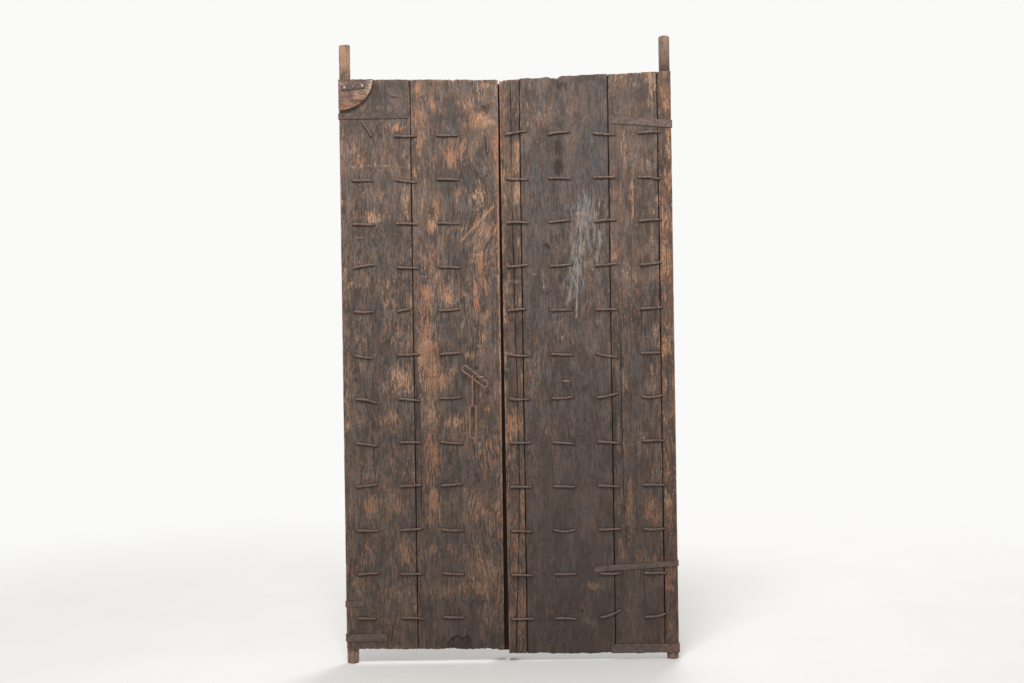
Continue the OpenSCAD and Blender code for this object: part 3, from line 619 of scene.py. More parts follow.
# Pale scratches, in the same form
SCRATCH = {
    "left_inner": [
        (-598, 1578, -714, 1457, 2.4, 0.9), (-857, 1335, -791, 1341, 1.4, 0.5),
        (-854, 724, -820, 744, 1.4, 0.4), (-638, 873, -600, 886, 3, 0.4), (-806, 212, -784, 261, 1.8, 0.5),
        (-784, 261, -774, 222, 1.8, 0.45), (-819, 247, -805, 275, 1.8, 0.4),
        (-692, 998, -664, 1018, 1.2, 0.3),
    ],
    "left_outer": [
        (-1111, 1717, -1014, 1726, 1.8, 0.5), (-1014, 1726, -890, 1716, 1.6, 0.45),
        (-1047, 1551, -920, 1539, 1.3, 0.35), (-1044, 1537, -920, 1529, 1.2, 0.3),
        (-1110, 1472, -886, 1487, 1.4, 0.55), (-937, 704, -882, 714, 1.6, 0.55),
        (-882, 714, -820, 737, 1.6, 0.5), (-1027, 1768, -996, 1768, 1.4, 0.35),
        (-1004, 891, -943, 815, 2, 0.35),
    ],
    "right_middle": [
        (-481, 1339, -481, 1291, 1.4, 0.6), (-495, 1291, -402, 1290, 1.4, 0.6),
        (-491, 1339, -429, 1339, 1.4, 0.5), (-430, 1404, -431, 1290, 1.6, 0.7),
        (-380, 1121, -335, 1120, 1.4, 0.5), (-329, 1072, -250, 1067, 1.4, 0.5),
        (-293, 909, -220, 946, 2, 0.75), (-353, 516, -329, 488, 1.2, 0.35),
        (-323, 1230, -275, 1243, 1.4, 0.4), (-419, 200, -371, 213, 1.3, 0.3),
    ],
    "right_outer": [
        (-111, 555, -57, 482, 1.6, 0.5), (-175, 449, -137, 414, 1.2, 0.3), (-131, 365, -110, 341, 1.6, 0.45),
        (-151, 390, -133, 431, 1.4, 0.4), (-169, 907, -100, 907, 1.3, 0.4),
    ],
    "right_meeting": [
        (-567, 1071, -543, 1067, 1.6, 0.6), (-568, 1013, -554, 1009, 1.6, 0.6),
        (-560, 1316, -509, 1319, 2, 0.7),
    ],
}
# How much darker a plank is at the floor: dirt, and painted shade for the light that falls from above
FOOT_DIRT_AND_SHADE = {"left_outer": 0.56, "left_inner": 0.66, "right_middle": 0.8, "right_outer": 0.72}
# Old nail holes: (x, z, radius)
HOLES = {
    "left_inner": [(-621, 1680, 3.6), (-667, 1016, 4.2), (-773, 1999, 2.2), (-739, 1402, 1.6)],
    "left_outer": [(-945, 1171, 3.2), (-1110, 1531, 2.2), (-994, 1402, 1.6)],
    "right_middle": [(-421, 1440, 4), (-411, 1430, 3.2), (-313, 171, 4), (-259, 909, 2)],
    "right_outer": [(-131, 907, 2), (-112, 244, 2)],
}
# Cracks along the grain: places (x, z) from the top down, half width, depth
CRACKS = {
    "left_outer": [([(-1031, 900), (-1028, 780), (-1025, 640)], 0.9, 2.0),
                   ([(-973, 190), (-972, 120), (-974, 60)], 0.9, 2.0)],
    "left_inner": [([(-868, 930), (-866, 800), (-864, 640), (-865, 480)], 1.5, 4.0),
                   ([(-668, 1250), (-667, 1100), (-669, 1000)], 0.8, 1.4)],
    "right_meeting": [([(-536, 2040), (-536, 1700), (-532, 1250), (-525, 760), (-525, 600), (-531, 350),
                        (-541, 150), (-543, 10)], 1.5, 6.0)],
    "right_middle": [([(-430, 1420), (-431, 1290)], 0.7, 1.0), ([(-410, 900), (-411, 560)], 0.7, 1.0),
                     ([(-322, 700), (-320, 420)], 0.7, 1.0)],
    "right_outer": [([(-166, 1120), (-166, 900), (-165, 650), (-163, 520), (-157, 430), (-153, 385)],
                     1.3, 3.5),
                    ([(-131, 470), (-140, 430), (-150, 388)], 0.9, 2.0),
                    ([(-95, 1260), (-94, 1080)], 0.9, 2.0), ([(-112, 1690), (-110, 1500)], 0.9, 2.0),
                    ([(-99, 330), (-98, 150)], 1.1, 2.5)],
    "right_stile": [([(-4, 1500), (-3, 1200), (-5, 900)], 0.8, 1.4)],
}
# Knots that the grain flows round: (x, z, radius, how much)
KNOTS = {
    "left_inner": [(-632, 1918, 20, 0.9), (-600, 1880, 12, 0.5), (-812, 1560, 12, 0.4)],
    "left_outer": [(-938, 1962, 26, 0.9), (-1050, 640, 16, 0.4)],
    "right_middle": [(-330, 1900, 20, 0.5), (-458, 1000, 16, 0.6)],
    "right_outer": [(-152, 420, 12, 0.8)],
}
# Places where the grain leans: (x, z, half width, half height, lean)
LEANS = {
    "left_inner": [(-640, 1490, 90, 150, 0.42), (-640, 560, 70, 90, 0.4), (-650, 330, 60, 110, -0.25),
                   (-640, 1850, 70, 90, 0.3), (-700, 1800, 50, 110, 0.25)],
    "left_outer": [(-990, 840, 70, 90, -0.25), (-960, 1120, 60, 90, 0.15)],
    "right_middle": [(-330, 1830, 60, 120, 0.4), (-440, 1880, 60, 90, -0.2), (-300, 1330, 60, 100, -0.2)],
    "right_outer": [(-130, 600, 40, 120, 0.12)],
}
# The upper edge of the rotted hollow in the left leaf's foot
HOLLOW = [(-785, 30), (-782, 64), (-777, 74), (-767, 83), (-753, 91), (-745, 96), (-737, 88), (-727, 86),
          (-717, 91), (-706, 87), (-701, 70), (-698, 30)]
# Cells of noise between the two sides or the two ends of a board, so that they differ
SIDES_APART, ENDS_APART = 7.0, 9.0


def ellipses(x, z, table, sharp=1.3):
    """How strongly the marks of a table show at each place, from 0 to 1."""
    out = np.zeros(len(x))
    for mid_x, mid_z, wide, high, strength in table:
        near = (np.abs(x - mid_x) < wide * 2) & (np.abs(z - mid_z) < high * 2)
        d = ((x[near] - mid_x) / wide) ** 2 + ((z[near] - mid_z) / high) ** 2
        out[near] = np.maximum(out[near], strength * np.exp(-0.7 * d ** sharp))
    return out


def strokes(x, z, table, spread=1.0):
    """The same for marks along a line."""
    out = np.zeros(len(x))
    for x0, z0, x1, z1, half, strength in table:
        reach = half * spread * 2.5
        near = (x > min(x0, x1) - reach) & (x < max(x0, x1) + reach)
        near &= (z > min(z0, z1) - reach) & (z < max(z0, z1) + reach)
        along = np.array([x1 - x0, z1 - z0], float)
        t = np.clip(((x[near] - x0) * along[0] + (z[near] - z0) * along[1]) / along.dot(along), 0, 1)
        d = np.hypot(x[near] - x0 - t * along[0], z[near] - z0 - t * along[1]) / (half * spread)
        out[near] = np.maximum(out[near], strength * np.exp(-d ** 2) * (1 - 0.25 * t))
    return out


def crack_line(points, z):
    """Where a crack is at each height, and how open it is there."""
    pts = sorted(points, key=lambda p: p[1])
    at = np.interp(z, [p[1] for p in pts], [p[0] for p in pts])
    low, high = pts[0][1], pts[-1][1]
    opened = smooth(low - 5, low + 45, z) * (1 - smooth(high - 45, high + 5, z))
    return at + 1.1 * noise(at * 0 + 3, z / 34, 77, 2), opened


def grain_of(x, y, z, key):
    """Grain coordinates: across, across, and along the grain, in metres."""
    gx = x + 3.0 * noise(x / 60, z / 260, 11, 2)
    for mid_x, mid_z, wide, high, lean in LEANS.get(key, []):
        gx = gx - lean * (z - mid_z) * np.exp(-((x - mid_x) / wide) ** 2 - ((z - mid_z) / high) ** 2)
    for mid_x, mid_z, r, much in KNOTS.get(key, []):
        near = np.exp(-((x - mid_x) / (r * 1.6)) ** 2 - ((z - mid_z) / (r * 3.2)) ** 2)
        gx = gx - much * (x - mid_x) * near + 0.5 * much * r * near * np.sin((z - mid_z) / r)
    return np.stack([gx, y, z], 1) * MM


def wood_values(grain, worn, dirt, slate=0.0, deep=0.0, paint=0.0, soot=0.0):
    """The values at each point that the wood materials read."""
    values = {"worn": worn, "slate": slate, "dirt": dirt, "deep": deep, "paint": paint, "soot": soot}
    full = {key: np.broadcast_to(np.asarray(data, float), (len(grain),)) for key, data in values.items()}
    return {"grain": grain, **full}


def plank_grid(key, x_left, z_foot, width, height):
    """A plank's box surface, with columns of points that follow its cracks."""
    cracks = CRACKS.get(key, [])
    middles = [np.mean([p[0] for p in line]) - x_left for line, _, _ in cracks]
    fine = [(at, half) for at, (_, half, _) in zip(middles, cracks) if 6 < at < width - 6]
    u = spaced(width, 2.6, extra=fine)
    v = spaced(height, 5.2, edge=(0.0, 0.8, 2.0, 4.0, 7.0))
    t = np.array([0, 0.7, 1.8, 3.6, 7, 12, 18, 24, 29.5, 32.3, 33.4, PLANK_T])
    p, faces = slab(u, v, t, coarse=3)
    z = z_foot + p[:, 1]
    for (line, _, _), at in zip(cracks, middles):
        x, _ = crack_line(line, z)
        off_sides = (p[:, 0] > 0) * (p[:, 0] < width)
        p[:, 0] += (x - x_left - at) * np.exp(-((p[:, 0] - at) / 9.0) ** 2) * off_sides
    return p, faces


def sawn_ends(x, deep, low, high, ends, seed):
    """The worn foot and head of a plank at each place: heights of both."""
    bite = 2.0 + 1.6 * noise(x / 26, deep / 30, seed + 4, 3) + 1.2 * noise(x / 7, deep / 9, seed + 5)
    top = high - np.maximum(0, bite * 0.8 - 0.6)
    bottom = low + np.maximum(0, bite * 1.1 - 0.6)
    for middle, half, down, at_head in ends:
        dip = down * np.exp(-np.abs((x - middle) / half) ** 3) * (1 + 0.25 * noise(x / 4, deep / 8, seed + 6))
        if at_head:
            top = top - dip
        else:
            bottom = bottom + dip
    return bottom, top


def face_relief(key, x, z, gx, ridges, seed):
    """How far the near face lies below its plane, and how dark its cracks and holes are."""
    depth = 0.45 + 0.5 * noise(x / 75, z / 170, seed + 7, 2) + 0.28 * noise(x / 22, z / 55, seed + 8, 2)
    depth = depth + 0.26 * ridges + 0.12 * noise(gx / 1.9, z / 60, seed + 10)
    deep = np.zeros(len(x))
    for line, half, down in CRACKS.get(key, []):
        at, opened = crack_line(line, z)
        uneven = 0.6 + 0.4 * noise(x * 0, z / 50, seed + 11, 2)
        gap = np.clip(1 - np.abs(x - at) / (half * 1.5), 0, 1) * opened * uneven
        depth = depth + down * gap
        deep = np.maximum(deep, np.clip(gap * 1.7, 0, 1) * min(1, 0.35 + down / 5))
    for hole_x, hole_z, r in HOLES.get(key, []):
        d = np.hypot(x - hole_x, z - hole_z) / r
        depth = depth + 3.5 * np.exp(-d ** 4)
        deep = np.maximum(deep, np.exp(-(d / 1.05) ** 4))
    for knot_x, knot_z, r, much in KNOTS.get(key, []):
        d = np.hypot(x - knot_x, (z - knot_z) * 0.8) / r
        depth = depth - much * 0.9 * np.exp(-d ** 2) + much * 0.8 * np.exp(-((d - 1) / 0.25) ** 2)
    if key == "left_inner":
        rim = np.interp(x, *zip(*HOLLOW)) + 2.5 * noise(x / 6, z * 0, seed + 12, 3)
        inside = smooth(0, 4, rim - z)
        depth = depth + inside * (7.5 + 3.5 * noise(x / 10, z / 14, seed + 13, 3))
        deep = np.maximum(deep, inside * (0.2 + 0.35 * noise(x / 6, z / 16, seed + 14, 2)))
        # Painted shadow under the upper rim of the rotted hollow
        deep = np.maximum(deep, 0.7 * np.exp(-((rim - z - 4) / 3.5) ** 2))
    return depth, deep


def plank(key, x_foot, x_head, foot, head, rods, seed, ends=(), laps=(0.0, 0.0)):
    """One plank as (verts, faces, values), from its two edges at the foot and the head.

    rods are the nail ends that lie on it, ends the dips in its head and foot as (x, half width, depth,
    whether at the head), and laps is how far its sides come out behind the open joints."""
    width = x_head[1] - x_head[0]
    height = head(sum(x_head) / 2) - foot(sum(x_foot) / 2)
    p, faces = plank_grid(key, x_head[0], foot(0.5 * sum(x_foot)), width, height)
    on_right = p[:, 0] > width / 2
    side, joint_lap = on_right * SIDES_APART, np.where(on_right, laps[1], laps[0])
    front = 1 - smooth(2, 12, p[:, 2])
    chips = np.maximum(0, noise(side + p[:, 2] / 30, p[:, 1] / 34, seed + 1, 3) - 0.25)
    r = 1.2 + (0.9 + 1.2 * noise(side, p[:, 1] / 90, seed + 2, 2) + 9 * chips * front) * (0.5 + 0.5 * front)
    end = (p[:, 1] > height / 2) * ENDS_APART
    end_r = 1.6 + 1.4 * noise(p[:, 0] / 40, end, seed + 3, 2) + 3 * chips * front
    radius = np.stack([np.maximum(r, 0.7), np.maximum(end_r, 0.8), np.maximum(np.minimum(r, 5), 0.7)], 1)
    q, n = rounded(p, (width, height, PLANK_T), radius)
    up = q[:, 1] / height
    left = x_foot[0] + (x_head[0] - x_foot[0]) * up
    right = x_foot[1] + (x_head[1] - x_foot[1]) * up
    x = left + (right - left) * q[:, 0] / width
    bottom, top = sawn_ends(x, q[:, 2], foot(x), head(x), ends, seed)
    y, z = NEAR_Y + q[:, 2], bottom + (top - bottom) * up
    face, behind = np.clip(-n[:, 2], 0, 1), np.clip(n[:, 2], 0, 1)
    grain = grain_of(x, y, z, key)
    gx = grain[:, 0] / MM
    ridges = noise(gx / 3.4, z / 120, seed + 9, 2)
    depth, deep = face_relief(key, x, z, gx, ridges, seed)
    scratch = strokes(x, z, SCRATCH.get(key, []), 1.5)
    depth = depth + 0.5 * scratch
    soot = ellipses(x, z, SOOT_AND_SHADE.get(key, []), 0.9)
    dirt = np.zeros(len(x))
    # Painted shadow just below each bent nail end: a dark brown band and a darker line under the rod
    for x0, z0, x1, z1 in rods:
        dirt = np.maximum(dirt, strokes(x, z, [(x0, z0 - 3, x1, z1 - 3.5, 5.5, 0.9)]))
        deep = np.maximum(deep, strokes(x, z, [(x0, z0 - 3.2, x1, z1 - 3.6, 2.6, 0.45)]))
        depth = depth + 0.9 * np.exp(-(np.hypot(x - x0, z - z0) / 5) ** 2)
    y = y + depth * face
    y = y - behind * (0.5 + 0.5 * noise(x / 60, z / 140, seed + 15, 2) + 0.3 * ridges)
    behind_joint = smooth(11, 13, q[:, 2]) * (q[:, 2] < PLANK_T - 1.5)
    worn_in = (0.25 + 0.3 * noise(y / 5, z / 60, seed + 16, 2)) * (1 - behind_joint)
    x = x - n[:, 0] * (worn_in - joint_lap * behind_joint)
    from_side, from_end = np.minimum(q[:, 0], width - q[:, 0]), np.minimum(up * height, (1 - up) * height)
    joint = (joint_lap > 0) * (0.85 + 0.5 * noise(side, z / 70, seed + 18, 2))
    shut = joint * np.exp(-(from_side / 2.1) ** 2) * (1 - 0.25 * behind)
    rubbed = 0.9 + 0.8 * noise(side, z / 60, seed + 17, 3)
    edge = np.exp(-from_side / 4.0) * rubbed * (1.2 - 0.5 * (joint_lap > 0))
    edge = np.maximum(edge, 0.7 * np.exp(-from_end / 5.0))
    edge = np.maximum(edge, 1.3 * chips * front * np.exp(-from_side / 8.0))
    worn = np.maximum(ellipses(x, z, WORN.get(key, []), 1.1), np.clip(edge, 0, 1.4) * (face > 0.02))
    worn = np.maximum(worn, scratch * 1.5)
    slate = ellipses(x, z, SLATE.get(key, []), 1.0)
    outside = 1 - np.clip(face * 3, 0, 1)
    # Darker towards the floor: dirt, and painted shade for the light that falls from above. The sides and far
    # face are darker too.
    foot_dirt_and_shade = FOOT_DIRT_AND_SHADE.get(key, 0.6) * (1 - smooth(0, 1600, z))
    dirt = dirt * face + foot_dirt_and_shade + 0.06 * (1 - smooth(0, 200, z)) + 0.25 * outside
    values = wood_values(
        grain,
        worn=worn - 0.55 * slate - 0.25 * outside,
        dirt=np.clip(dirt, 0, 1),
        slate=slate * (1 - outside),
        deep=np.clip(np.maximum(deep * face, shut), 0, 1),
        paint=strokes(x, z, PAINT.get(key, []), 2.0) * face,
        soot=soot * face)
    return points(x, y, z), faces, values


def post(x, z_low, z_high, seed, cap, pale, squareness=2.6, slant=0.0, soft=4.0):
    """A pivot as (verts, faces, values), with its worn end at cap: 1 for the top, -1 for the foot."""
    sides, steps, crowded = 44, 40, 8
    near_cap = 0.9 + 0.1 * np.sin(np.linspace(0.15, 1, crowded) * math.pi / 2)
    s = np.concatenate([np.linspace(0, 0.9, steps - crowded), near_cap])
    length, end = z_high - z_low, z_high if cap > 0 else z_low
    z = z_low + length * (s if cap > 0 else 1 - s)
    from_end = np.abs(end - z)
    ring = PIVOT_R * np.sqrt(np.clip(1 - np.clip(1 - from_end / soft, 0, 1) ** 2, 0.5, 1))
    path = points(np.full(steps, x), np.zeros(steps), z)
    verts, faces = tube(path, ring * 0.955, sides, squareness, seed=seed, roll=math.radians(22.75))
    angle = np.arctan2(verts[:, 1], verts[:, 0] - x)
    out = unit(points(verts[:, 0] - x, verts[:, 1], verts[:, 2] * 0))
    groove = np.clip(1 - np.abs(noise(angle * 2.2 + 9, verts[:, 2] / 80, seed + 1, 2)) * 7, 0, 1)
    bumps = 0.5 * noise(angle * 3 + 9, verts[:, 2] / 35, seed + 2, 3)
    bumps = bumps + 0.3 * noise(angle * 12, verts[:, 2] / 60, seed + 3)
    verts = verts + out * (bumps - 0.9 * groove)[:, None]
    share = (verts[:, 2] - z_low) / length
    to_cap = share if cap > 0 else 1 - share
    verts[:, 2] += slant * (verts[:, 0] - x) / PIVOT_R * np.clip(to_cap, 0, 1) ** 6
    tip = np.exp(-np.abs(end - verts[:, 2]) / (length * 0.7))
    patchy = 0.8 + 0.4 * noise(angle * 2 + 9, verts[:, 2] / 30, seed + 4, 2)
    dirt = 0.75 * smooth(0.5, 0.1, to_cap) * patchy + 0.2 * groove + (0.0 if pale > 0.5 else 0.2)
    worn = np.clip(pale * (0.25 + 0.9 * tip), 0, 1.4)
    return verts, faces, wood_values(verts * MM, worn, np.clip(dirt, 0, 1), deep=groove * 0.35)


# Materials of the pieces

TEAK = dict(dark=(58, 50, 47), mid=(122, 104, 93), dull=(142, 117, 101), bright=(193, 154, 126),
            orange=(182, 131, 97))


def teak(name, seed, worn_at, haze_at, gloss=0.0, **changed):
    """One of the woods: the usual teak with some of its colours changed."""
    return wood(name, seed, **{**TEAK, **changed}, worn_at=worn_at, haze_at=haze_at, gloss=gloss)


outer_teak = teak("outer_teak", 3.0, 1.79, 1.6)
inner_teak = teak("inner_teak", 17.0, 1.75, 1.55, dull=(144, 116, 98), orange=(180, 128, 97))
meeting_teak = teak("meeting_teak", 29.0, 1.76, 1.56, dark=(54, 45, 40), mid=(114, 93, 80))
smooth_teak = teak("smooth_teak", 41.0, 1.86, 1.68, 0.06, dark=(57, 50, 47), mid=(118, 101, 93),
                   dull=(132, 112, 99))
right_teak = teak("right_teak", 53.0, 1.78, 1.6, mid=(118, 100, 90))
stile_teak = teak("stile_teak", 67.0, 1.74, 1.5, mid=(104, 84, 72), dull=(126, 99, 82))
post_teak = teak("post_teak", 71.0, 1.66, 1.4, dark=(96, 78, 67), mid=(142, 116, 100), dull=(166, 138, 120),
                 bright=(200, 172, 152), orange=(184, 144, 118))
pale_teak = teak("pale_teak", 83.0, 1.66, 1.45, dark=(60, 43, 37), mid=(130, 102, 90), dull=(160, 131, 117),
                 bright=(206, 180, 162), orange=(184, 140, 116))
rail_teak = teak("rail_teak", 97.0, 1.78, 1.58, dark=(54, 45, 40), mid=(110, 90, 78), dull=(132, 106, 88))
nail_iron = iron("nail_iron", 5.0, (84, 69, 62), (134, 112, 101), (186, 162, 150), (134, 98, 80),
                 0.25, 0.1, 0.5)
strap_iron = iron("strap_iron", 19.0, (66, 56, 52), (100, 86, 79), (134, 116, 107), (112, 82, 70), 0.3, 0.2)
pale_strap_iron = iron("pale_strap_iron", 23.0, (78, 66, 61), (122, 104, 96), (160, 140, 130), (126, 94, 80),
                       0.3, 0.15)
chain_iron = iron("chain_iron", 31.0, (104, 80, 70), (150, 118, 104), (186, 156, 140), (152, 104, 84),
                  0.35, 0.1)

# Nails

LEFT_SEAM, MEETING_SEAM, OUTER_SEAM, STILE_SEAM, SEAM_GAP = -884.0, -506.0, -200.5, -29.0, 1.5
LEFT_COLUMNS = [LEFT_EDGE + 43, LEFT_SEAM - 53, LEFT_SEAM + SEAM_GAP + 89]
RIGHT_COLUMNS = [RIGHT_MEET + 19, MEETING_SEAM + SEAM_GAP + 98, OUTER_SEAM - 50, STILE_SEAM - 67]
ODD_NAIL_X, BENT_NAIL_X = LEFT_EDGE + 112, LEFT_RAIL_END - 12
# How long the bent end is: most nails, and those that are shorter, by row and column
CLINCH = 74.0
SHORT_LEFT = {(0, 0): 68, (4, 0): 65, (4, 1): 45, (5, 0): 63, (11, 0): 59}
SHORT_RIGHT = {(4, 0): 62, (5, 3): 66}
# Which way the bent end points, in degrees up from level, a row of nails at a time
LEFT_TILTS = [[124, -2, -1], [-1, -7, -3], [-3, -3, -3], [8, -3, -4], [-1, 8, 3], [-10, 1, 3],
              [-11, -6, 3], [-9, -1, -6], [7, 2, 3], [-1, 3, -3], [3, -1, -4], [-3, -4, -3]]
RIGHT_TILTS = [[9, 5, -4, 1], [-3, -2, -1, -7], [-2, 4, 3, 2], [4, 4, 5, 6], [5, 0, 0, 3], [-4, -3, -10, 0],
               [-1, 4, 11, 4], [-1, -6, -5, 0], [-1, -3, -4, -1], [-3, 1, 1, 1], [-3, 0, 0, -1],
               [-1, -3, 20, 9]]
# How far the middle of a bent end is above or below the straight line, for those that are clearly bowed
LEFT_BOWS = {(6, 0): 4.0, (6, 2): -3.0, (9, 2): -2.5, (4, 0): -2.0, (8, 0): -1.5, (3, 0): 1.5, (1, 1): -1.5}
RIGHT_BOWS = {(0, 0): 1.5, (0, 1): 2.0, (2, 0): 3.0, (6, 0): -2.5, (6, 1): -3.0, (9, 1): -5.0, (9, 3): -3.5,
              (11, 2): -4.0, (11, 3): -4.0, (5, 2): -2.0, (6, 2): -2.0, (1, 3): 2.0, (6, 3): -3.5,
              (0, 3): 1.5, (3, 2): -1.0, (2, 2): 2.0, (2, 3): 1.5}


def nail_list(columns, rows, tilts, short, bows, backs, first_x=None):
    """The nails of a leaf as (x, z, length, tilt, bow, where the head lies), the first one at first_x."""
    out = []
    for i in range(RAIL_COUNT):
        for j, x in enumerate(columns):
            at = first_x if first_x and i == j == 0 else x
            bow = bows.get((i, j), 1.4 * noise(i * 3.7, j * 5.1, 9))
            out.append((at, rows(i), short.get((i, j), CLINCH), tilts[i][j], bow, backs[j]))
    return out


left_nails = nail_list(LEFT_COLUMNS, left_row, LEFT_TILTS, SHORT_LEFT, LEFT_BOWS, [RAIL_Y] * 3, ODD_NAIL_X)
right_nails = nail_list(RIGHT_COLUMNS, right_row, RIGHT_TILTS, SHORT_RIGHT, RIGHT_BOWS,
                        [STRIP_Y, RAIL_Y, RAIL_Y, RAIL_Y])
bent_nail = (BENT_NAIL_X, left_row(0), 65.0, -88.0, 5.0, RAIL_Y)


def rod_end(nail):
    """Where a nail comes out of the wood and where its tip is: (x, z) of both."""
    x, z, length, tilt = nail[:4]
    return x, z, x + length * math.cos(math.radians(tilt)), z + length * math.sin(math.radians(tilt))


def nail(x, z, length, tilt, bow, back, seed):
    """A clinched nail: rose head behind, shank through the wood, and its end bent over on the near face."""
    c, s = math.cos(math.radians(tilt)), math.sin(math.radians(tilt))
    t = np.linspace(0, 1, 20)
    sway = bow * 4 * t * (1 - t) + 0.7 * noise(t * 4, seed, 21, 2)
    run = 3.0 + (length - 3.0) * t
    lift = 3.4 - 0.9 * t + 0.35 * noise(t * 5, seed + 3, 22) - 1.4 * smooth(0.9, 1.0, t)
    end = points(x + c * run - s * sway, NEAR_Y - lift, z + s * run + c * sway)
    bend = [(x, NEAR_Y + 3.5, z), (x + 0.3 * c, NEAR_Y + 0.6, z + 0.3 * s),
            (x + 1.0 * c, NEAR_Y - 1.6, z + 1.0 * s)]
    shank = [(x, back + 1, z), (x, (back + NEAR_Y) / 2, z)]
    path = np.vstack([shank, bend, end])
    radius = np.concatenate([[3.0, 3.0, 3.0, 3.5, 3.9], 3.9 - 1.1 * t ** 1.3 + 0.12 * noise(t * 7, seed, 23)])
    radius[-2:] *= (0.92, 0.6)
    rod, rod_faces = tube(path, radius, 9, 2.7, twist=0.5, seed=seed, rough=0.05, roll=0.4)
    sides, rings = 14, [(9.0, 0.0), (9.1, 0.9), (7.9, 2.3), (5.4, 3.8), (2.6, 4.7)]
    angle = around(sides) + seed
    head = [(x, back + 4.9, z)]
    for r, h in rings:
        hammered = 1 + 0.07 * np.cos(angle * 4 + seed)
        hammered = hammered + 0.04 * noise(np.cos(angle) * 2, np.sin(angle) * 2 + seed, 24)
        head += [(x + q * math.cos(a), back + h + 0.02, z + q * math.sin(a))
                 for a, q in zip(angle, r * hammered)]
    last = len(rings) - 1
    faces = [[0, 1 + last * sides + (k + 1) % sides, 1 + last * sides + k] for k in range(sides)]
    faces += ring_faces(len(rings), sides, 1, turned=True)
    faces.append([1 + k for k in range(sides)])
    red = float(noise(seed * 1.7, 3.0, 25))
    return [(rod, rod_faces, {"red": np.full(len(rod), red)}),
            (np.array(head), faces, {"red": np.full(len(head), red)})]


def nail_group(name, nails, body, node, seed):
    parts = [part for k, n in enumerate(nails) for part in nail(*n, seed + k)]
    piece(name, joined(parts), body, [node], nail_iron)


nail_group("left_clinched_nails", left_nails, "left_leaf", "left_nails", 100)
nail_group("right_clinched_nails", right_nails, "right_leaf", "right_nails", 200)
nail_group("left_loose_bent_nail", [bent_nail], "left_leaf", "left_bent_nail", 300)

# The planks and pivots

LEFT_RODS, RIGHT_RODS = [rod_end(n) for n in left_nails], [rod_end(n) for n in right_nails]
# How far a plank's left and right sides come out behind the joints, by its place in the leaf
FIRST, INNER, LAST = (0, JOINT_LAP), (JOINT_LAP, JOINT_LAP), (JOINT_LAP, 0)
# The lowest and highest point of each pivot's post
LEFT_TOP_PIVOT, LEFT_FOOT_PIVOT = (2014.0, 2144.0), (0.0, 60.0)
RIGHT_TOP_PIVOT, RIGHT_FOOT_PIVOT = (2026.0, 2160.0), (0.0, 30.0)


def board(key, node, edges, seed, material, laps, ends=(), at_foot=None, raised=0.0):
    """One plank as a piece. Edges are its sides at the head, and at the foot unless at_foot is given."""
    left = key.startswith("left")
    rods = LEFT_RODS + [rod_end(bent_nail)] * (key == "left_inner") if left else RIGHT_RODS
    foot, head = (left_foot, left_head) if left else (right_foot, right_head)
    made = plank(key, at_foot or edges, edges, foot, lambda x: head(x) + raised, rods, seed, ends, laps)
    piece(key + "_board", made, "left_leaf" if left else "right_leaf", [node], material)


def pivots(name, body, *posts):
    """The round ends of a leaf, which the CAD has as a part of the plank."""
    piece(name, joined(posts), body, [], post_teak)


board("left_outer", "left_outer_plank", (LEFT_EDGE, LEFT_SEAM), 10, outer_teak, FIRST)
pivots("left_pivots", "left_leaf",
       post(LEFT_AXIS, *LEFT_TOP_PIVOT, 31, 1, 0.9, 3.4, slant=1.6, soft=2.0),
       post(LEFT_AXIS, *LEFT_FOOT_PIVOT, 32, -1, 0.1))
board("left_inner", "left_inner_plank", (LEFT_SEAM + SEAM_GAP, LEFT_MEET), 40, inner_teak, LAST,
      ends=[(-735, 8, 2.5, True), (-640, 30, 1.5, True), (-640, 12, 3, False), (-770, 25, 2.5, False)],
      at_foot=(LEFT_SEAM + SEAM_GAP, LEFT_MEET - LEFT_LEAN))
board("right_meeting", "right_meeting_plank", (RIGHT_MEET, MEETING_SEAM), 70, meeting_teak, FIRST,
      ends=[(-568, 7, 4, True)], at_foot=(RIGHT_MEET + RIGHT_LEAN, MEETING_SEAM))
board("right_middle", "right_middle_plank", (MEETING_SEAM + SEAM_GAP, OUTER_SEAM), 100, smooth_teak, INNER,
      ends=[(-386, 14, 6.5, True), (-372, 9, 3.5, True), (-440, 26, 2.2, True), (-230, 22, 3, False),
            (-450, 30, 2, False)], raised=2.5)
board("right_outer", "right_outer_plank", (OUTER_SEAM + SEAM_GAP, STILE_SEAM), 130, right_teak, INNER,
      ends=[(-60, 30, 3.5, False)])
board("right_stile", "right_pivot_stile", (STILE_SEAM + SEAM_GAP, RIGHT_EDGE), 160, stile_teak, LAST)
pivots("right_pivots", "right_leaf",
       post(0.0, *RIGHT_TOP_PIVOT, 33, 1, 0.3, 2.3), post(0.0, *RIGHT_FOOT_PIVOT, 34, -1, 0.05))

# Rails and the cover strip


